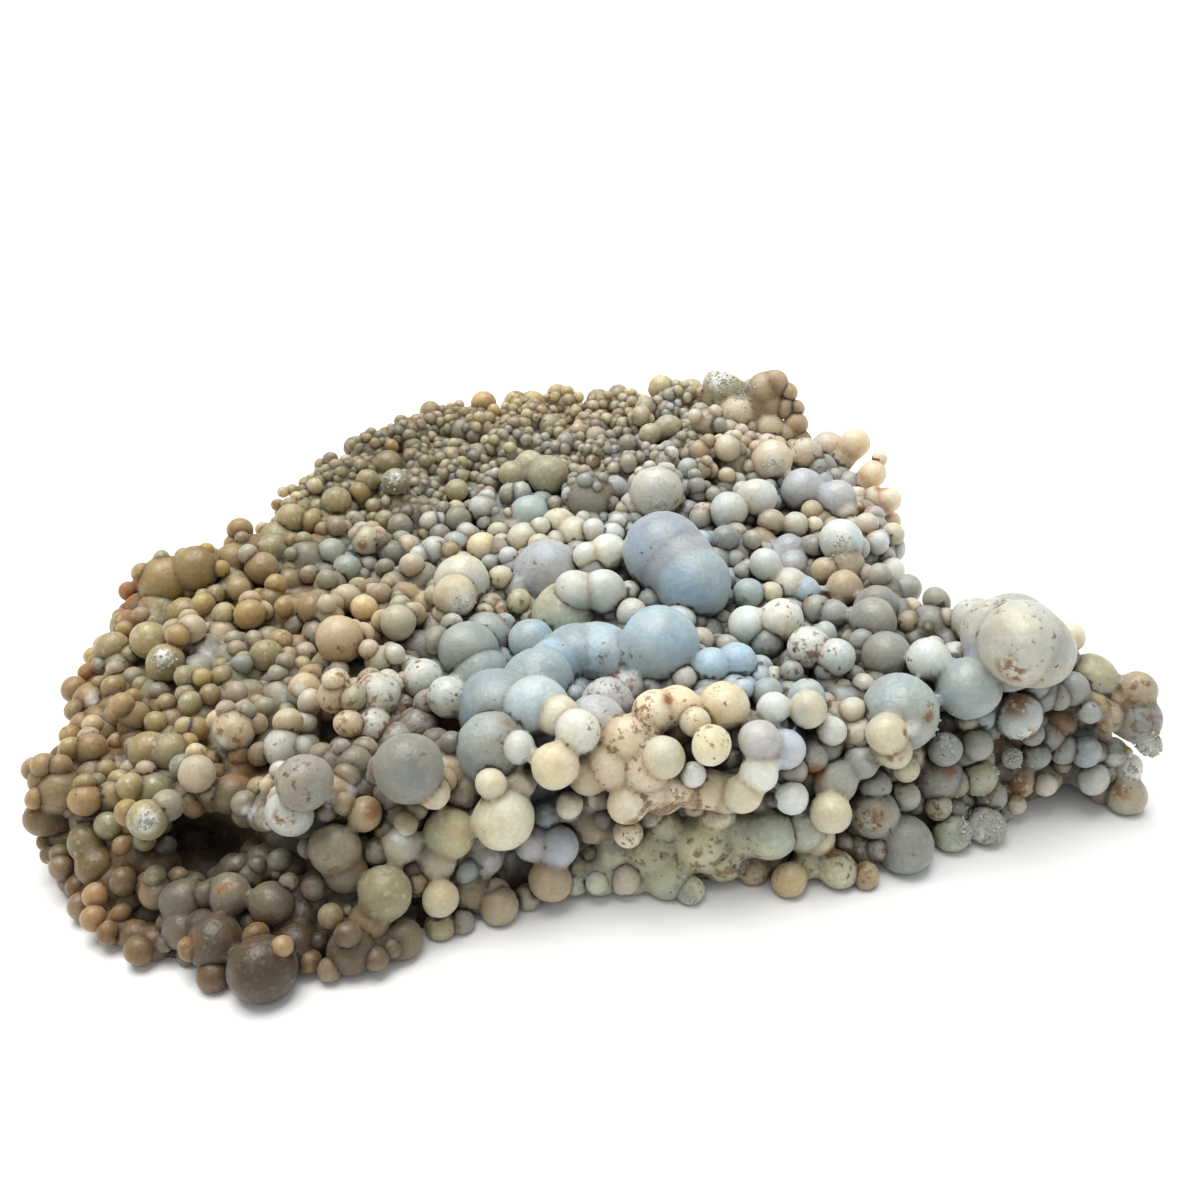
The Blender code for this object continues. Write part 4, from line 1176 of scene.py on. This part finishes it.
class Finish:
    """A material whose nodes are added one by one."""

    def __init__(self, name):
        self.material = bpy.data.materials.new(name)
        self.material.use_nodes = True
        self.tree = self.material.node_tree
        self.surface = self.tree.nodes["Principled BSDF"]

    def node(self, kind, settings, sockets, output=0):
        """A node with its settings, and the values or links of its sockets."""
        node = self.tree.nodes.new(kind)
        for name, value in settings.items():
            setattr(node, name, value)
        for name, value in sockets.items():
            self.feed(node.inputs[name], value)
        return Wire(self, node.outputs[output])

    def feed(self, socket, value):
        """Set a socket to a value, or link it."""
        if isinstance(value, Wire):
            self.tree.links.new(value.socket, socket)
        else:
            socket.default_value = value

    def mixed(self, amount, first, second):
        """Two colours mixed."""
        settings = {"data_type": "RGBA", "blend_type": "MIX", "clamp_factor": True}
        return self.node("ShaderNodeMix", settings, {0: amount, 6: first, 7: second}, 2)

    def multiplied(self, first, second):
        """Two colours multiplied."""
        settings = {"data_type": "RGBA", "blend_type": "MULTIPLY"}
        return self.node("ShaderNodeMix", settings, {0: 1.0, 6: first, 7: second}, 2)

    def cloud(self, place, scale, detail=3.0, roughness=0.55):
        """A cloudy pattern between 0 and 1."""
        sockets = {"Vector": place, "Scale": scale, "Detail": detail, "Roughness": roughness}
        return self.node("ShaderNodeTexNoise", {}, sockets)


# The finish of the chalcedony: waxy and a little translucent. Milky clouds and darker smoke
# lie inside it, and fine specks of dirt sit on it, most of them near the creases. The creases
# are darkened brown, partly as dirt and partly as painted shade, deep gaps get painted shade,
# and druzy lumps get painted white glints for quartz grains too small to be modelled.
agate = Finish("agate_chalcedony")
place = agate.node("ShaderNodeTexCoord", {}, {}, 3)
tint = agate.node("ShaderNodeAttribute", {"attribute_name": "tint"}, {})
open_sky = agate.node("ShaderNodeAttribute", {"attribute_name": "tint"}, {}, 3)
marks = agate.node("ShaderNodeAttribute", {"attribute_name": "marks"}, {})
frost_and_glint_spots = agate.node("ShaderNodeAttribute", {"attribute_name": "marks"}, {}, 3)
crease = agate.node("ShaderNodeSeparateColor", {}, {0: marks}, 0)
druse = agate.node("ShaderNodeSeparateColor", {}, {0: marks}, 1)
rust = agate.node("ShaderNodeSeparateColor", {}, {0: marks}, 2)

milk_cloud = agate.cloud(place, 420.0, 2.0)
smoke_cloud = agate.cloud(place, 240.0, 3.0)
grit_cloud = agate.cloud(place, 60.0, 1.0)
hue_cloud = agate.cloud(place, 130.0, 1.0)
fine_cloud = agate.cloud(place, 900.0, 3.0, 0.6)
grain_cloud = agate.cloud(place, 1500.0, 1.0, 0.6)
stain_cloud = agate.cloud(place, 680.0, 4.0, 0.68)

warm = ((hue_cloud - 0.5) * 5.0).clamped() * 0.5
cool = ((0.5 - hue_cloud) * 5.0).clamped() * 0.5
colour = agate.mixed(warm, tint, agate.multiplied(tint, (1.08, 1.0, 0.82, 1.0)))
colour = agate.mixed(cool, colour, agate.multiplied(tint, (0.85, 1.0, 1.18, 1.0)))
darker = agate.multiplied(colour, (0.52, 0.47, 0.40, 1.0))
milk = ((milk_cloud - 0.44) * 3.4).clamped() * 0.22
smoke = ((smoke_cloud - 0.46) * 3.6).clamped() * 0.34
frosting = ((grain_cloud - 0.46) * 5.0).clamped() * 0.22
paler = agate.multiplied(colour, (1.30, 1.29, 1.26, 1.0))
colour = agate.mixed((milk + frosting) * 1.6, colour, paler)
colour = agate.mixed(smoke, colour, darker)
# Joints between lumps are darkened and browned: partly dirt, partly painted shade.
crease_dirt_and_shade = (crease * (0.3 + 0.9 * smoke_cloud)).clamped()
colour = agate.mixed(crease_dirt_and_shade, colour, agate.multiplied(tint, (0.56, 0.39, 0.23, 1.0)))
# Painted shade: corners with little open room round them are darkened towards near black, as in deep gaps.
painted_deep_shade = ((0.40 - open_sky) * 3.6).clamped()
colour = agate.mixed(painted_deep_shade * 0.92, colour, agate.multiplied(tint, (0.14, 0.12, 0.10, 1.0)))
rust_patch = ((smoke_cloud + fine_cloud - 0.96) * 7.0 + 0.4).clamped()
rust_cover = (rust * 1.4 * rust_patch).clamped() * 0.85
colour = agate.mixed(rust_cover, colour, (0.235, 0.105, 0.03, 1.0))
stain = (stain_cloud + (grit_cloud - 0.5) * 0.60 + crease * 0.07 + rust * 0.08 - 0.65) * 14.0
colour = agate.mixed(stain.clamped() * 0.78, colour, (0.15, 0.075, 0.028, 1.0))
frost_cover = (frost_and_glint_spots * (fine_cloud * 2.4 - 0.35)).clamped() * 0.92
colour = agate.mixed(frost_cover, colour, (0.82, 0.83, 0.80, 1.0))

speck_settings = {"feature": "F1", "distance": "EUCLIDEAN"}
speck_bend = agate.node("ShaderNodeTexNoise", {}, {"Vector": place, "Scale": 1500.0}, 1)
bend_settings = {"operation": "MULTIPLY_ADD"}
bend_sockets = {0: speck_bend, 1: (0.0011, 0.0011, 0.0011), 2: place}
bent_place = agate.node("ShaderNodeVectorMath", bend_settings, bend_sockets)
speck_sockets = {"Vector": bent_place, "Scale": 640.0, "Randomness": 1.0}
speck_gap = agate.node("ShaderNodeTexVoronoi", speck_settings, speck_sockets, 0)
speck_draw = speck_gap.other_output(1)
speck_lot = agate.node("ShaderNodeSeparateColor", {}, {0: speck_draw}, 0)
crowding = (grit_cloud - 0.5) * 1.9 + crease * 0.25 + rust * 0.3
speck_size = (speck_lot - 0.55 + crowding).clamped() * 0.34
speck = ((speck_size - speck_gap) * 14.0).clamped() * 0.85
colour = agate.mixed(speck, colour, (0.06, 0.03, 0.013, 1.0))

# Painted glints: tiny pale spots, dense on druzy and frosty places and sparse elsewhere, stand in for the
# sparkle of quartz grains; they are also made glossier.
glitter_sockets = {"Vector": place, "Scale": 1700.0, "Randomness": 1.0}
glitter_gap = agate.node("ShaderNodeTexVoronoi", speck_settings, glitter_sockets, 0)
glitter_draw = glitter_gap.other_output(1)
glitter_lot = agate.node("ShaderNodeSeparateColor", {}, {0: glitter_draw}, 0)
sparkling = (druse * 0.8 + frost_and_glint_spots).clamped()
painted_glints = ((glitter_lot - 0.80) * 5.0).clamped() * (0.10 + 0.90 * sparkling) * 0.5
colour = agate.mixed(painted_glints, colour, (0.85, 0.86, 0.82, 1.0))
agate.feed(agate.surface.inputs["Base Color"], colour)

roughness = 0.33 + fine_cloud * 0.16 + crease * 0.25 + rust_cover * 0.3 - painted_glints * 0.5
agate.feed(agate.surface.inputs["Roughness"], roughness.clamped())
relief_sockets = {"Strength": 0.6, "Distance": 0.00022, "Height": grain_cloud}
relief = agate.node("ShaderNodeBump", {}, relief_sockets)
agate.feed(agate.surface.inputs["Normal"], relief)
agate.surface.inputs["Sheen Weight"].default_value = 0.12
agate.surface.inputs["Sheen Roughness"].default_value = 0.45
agate.surface.inputs["Sheen Tint"].default_value = (1.0, 0.97, 0.93, 1.0)
agate.surface.inputs["Subsurface Weight"].default_value = 1.0
agate.surface.inputs["Subsurface Radius"].default_value = (1.0, 0.9, 0.75)
agate.surface.inputs["Subsurface Scale"].default_value = 0.007
agate.surface.inputs["IOR"].default_value = 1.54
for piece in (plate, standing_piece, *grain_pieces.values()):
    piece.data.materials.append(agate.material)
    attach(piece, "root")
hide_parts("grape_agate")

# The druse. On broken and druzy spots stubby quartz tips stand out of the chalcedony. One
# six-sided tip is modelled, and copies of it are sunk into the skin at all angles.
druse_spots = (
    (986, 828, 4.2, 170), (1012, 757, 2.8, 70), (1152, 750, 2.8, 60), (147, 820, 1.8, 30),
    (462, 606, 2.0, 30), (658, 506, 2.0, 40), (722, 380, 3.2, 60), (740, 395, 2.6, 40),
    (842, 543, 1.8, 30), (945, 742, 2.4, 40), (124, 702, 2.2, 40), (165, 660, 2.0, 30),
    (396, 480, 1.8, 25), (1128, 768, 2.0, 40), (772, 466, 1.8, 25), (690, 893, 2.2, 30),
)
tip_width = 0.42 * MM
tip_height = 0.45 * MM
druse_foot = 0.8 * MM
select_nothing()
bpy.ops.mesh.primitive_cylinder_add(vertices=6, radius=0.5, depth=0.6, location=(0.0, 0.0, 0.0))
tip = bpy.context.object
bpy.ops.object.mode_set(mode="EDIT")
bpy.ops.mesh.select_all(action="DESELECT")
bpy.ops.object.mode_set(mode="OBJECT")
for polygon in tip.data.polygons:
    polygon.select = polygon.normal.z > 0.9
bpy.ops.object.mode_set(mode="EDIT")
bpy.ops.mesh.extrude_region_move(TRANSFORM_OT_translate={"value": (0.0, 0.0, 0.4)})
bpy.ops.transform.resize(value=(0.12, 0.12, 1.0))
bpy.ops.object.mode_set(mode="OBJECT")
tip_corners = numpy.array([tuple(vert.co) for vert in tip.data.vertices])
tip_faces = [tuple(polygon.vertices) for polygon in tip.data.polygons]
bpy.data.objects.remove(tip, do_unlink=True)

druse_rng = random.Random(41)
druse_corners = []
druse_faces = []
for column, row, reach, count in druse_spots:
    middle, outward = hit_place(plate_tree, column, row)
    if middle is None:
        continue
    for _ in range(count):
        offset = Vector([druse_rng.gauss(0.0, 0.5) * reach * MM for _ in range(3)])
        spot, facing, _, _ = plate_tree.find_nearest(middle + offset + outward * reach * 0.3 * MM)
        lean = Vector([druse_rng.uniform(-0.6, 0.6) for _ in range(3)])
        turn = (facing + lean).normalized().to_track_quat("Z", "Y").to_matrix()
        size = druse_rng.uniform(0.6, 1.25)
        if spot.z < druse_foot:
            continue
        stretch = Vector((tip_width * size, tip_width * size, tip_height * size))
        start = len(druse_corners)
        for corner in tip_corners:
            shaped = Vector(corner) * 1.0
            shaped = Vector((shaped.x * stretch.x, shaped.y * stretch.y, shaped.z * stretch.z))
            druse_corners.append(tuple(spot + turn @ shaped))
        druse_faces.extend(tuple(start + corner for corner in face) for face in tip_faces)
druse_data = bpy.data.meshes.new("quartz_druse")
druse_data.from_pydata(druse_corners, [], druse_faces)
druse_piece = bpy.data.objects.new("quartz_druse", druse_data)
bpy.context.scene.collection.objects.link(druse_piece)

quartz = Finish("quartz_tips")
place = quartz.node("ShaderNodeTexCoord", {}, {}, 3)
cloud = quartz.cloud(place, 260.0)
quartz_colour = quartz.mixed((cloud * 1.8 - 0.5).clamped(), (0.30, 0.31, 0.27, 1.0), (0.60, 0.61, 0.56, 1.0))
quartz.feed(quartz.surface.inputs["Base Color"], quartz_colour)
quartz.feed(quartz.surface.inputs["Roughness"], 0.12 + cloud * 0.15)
quartz.surface.inputs["IOR"].default_value = 1.55

druse_piece.data.materials.append(quartz.material)
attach(druse_piece, "root")

# The table and the light. A plain white table top, a large soft light overhead and a pale sky
# all round give the even daylight that shows the waxy lumps without hard shadows.
select_nothing()
bpy.ops.mesh.primitive_plane_add(size=20.0, location=(0.0, 0.0, -0.0001))
table = bpy.context.object
table.name = "table"
table_top = Finish("table_white")
table_top.surface.inputs["Base Color"].default_value = (0.93, 0.93, 0.93, 1.0)
table_top.surface.inputs["Roughness"].default_value = 0.8
table.data.materials.append(table_top.material)


def soft_light(name, location, aim, width, power, colour):
    """A square soft light that looks at a place."""
    data = bpy.data.lights.new(name, "AREA")
    data.size = width
    data.energy = power
    data.color = colour
    light = bpy.data.objects.new(name, data)
    light.location = location
    light.rotation_euler = (Vector(aim) - Vector(location)).to_track_quat("-Z", "Y").to_euler()
    bpy.context.scene.collection.objects.link(light)


soft_light("overhead", (-0.4, 0.5, 2.4), (0.0, 0.1, 0.0), 2.0, 78.0, (1.0, 0.985, 0.955))
world = bpy.data.worlds.new("daylight")
world.use_nodes = True
world.node_tree.nodes["Background"].inputs["Color"].default_value = (0.96, 0.98, 1.0, 1.0)
world.node_tree.nodes["Background"].inputs["Strength"].default_value = 0.52
bpy.context.scene.world = world
bpy.context.scene.view_settings.view_transform = "Standard"
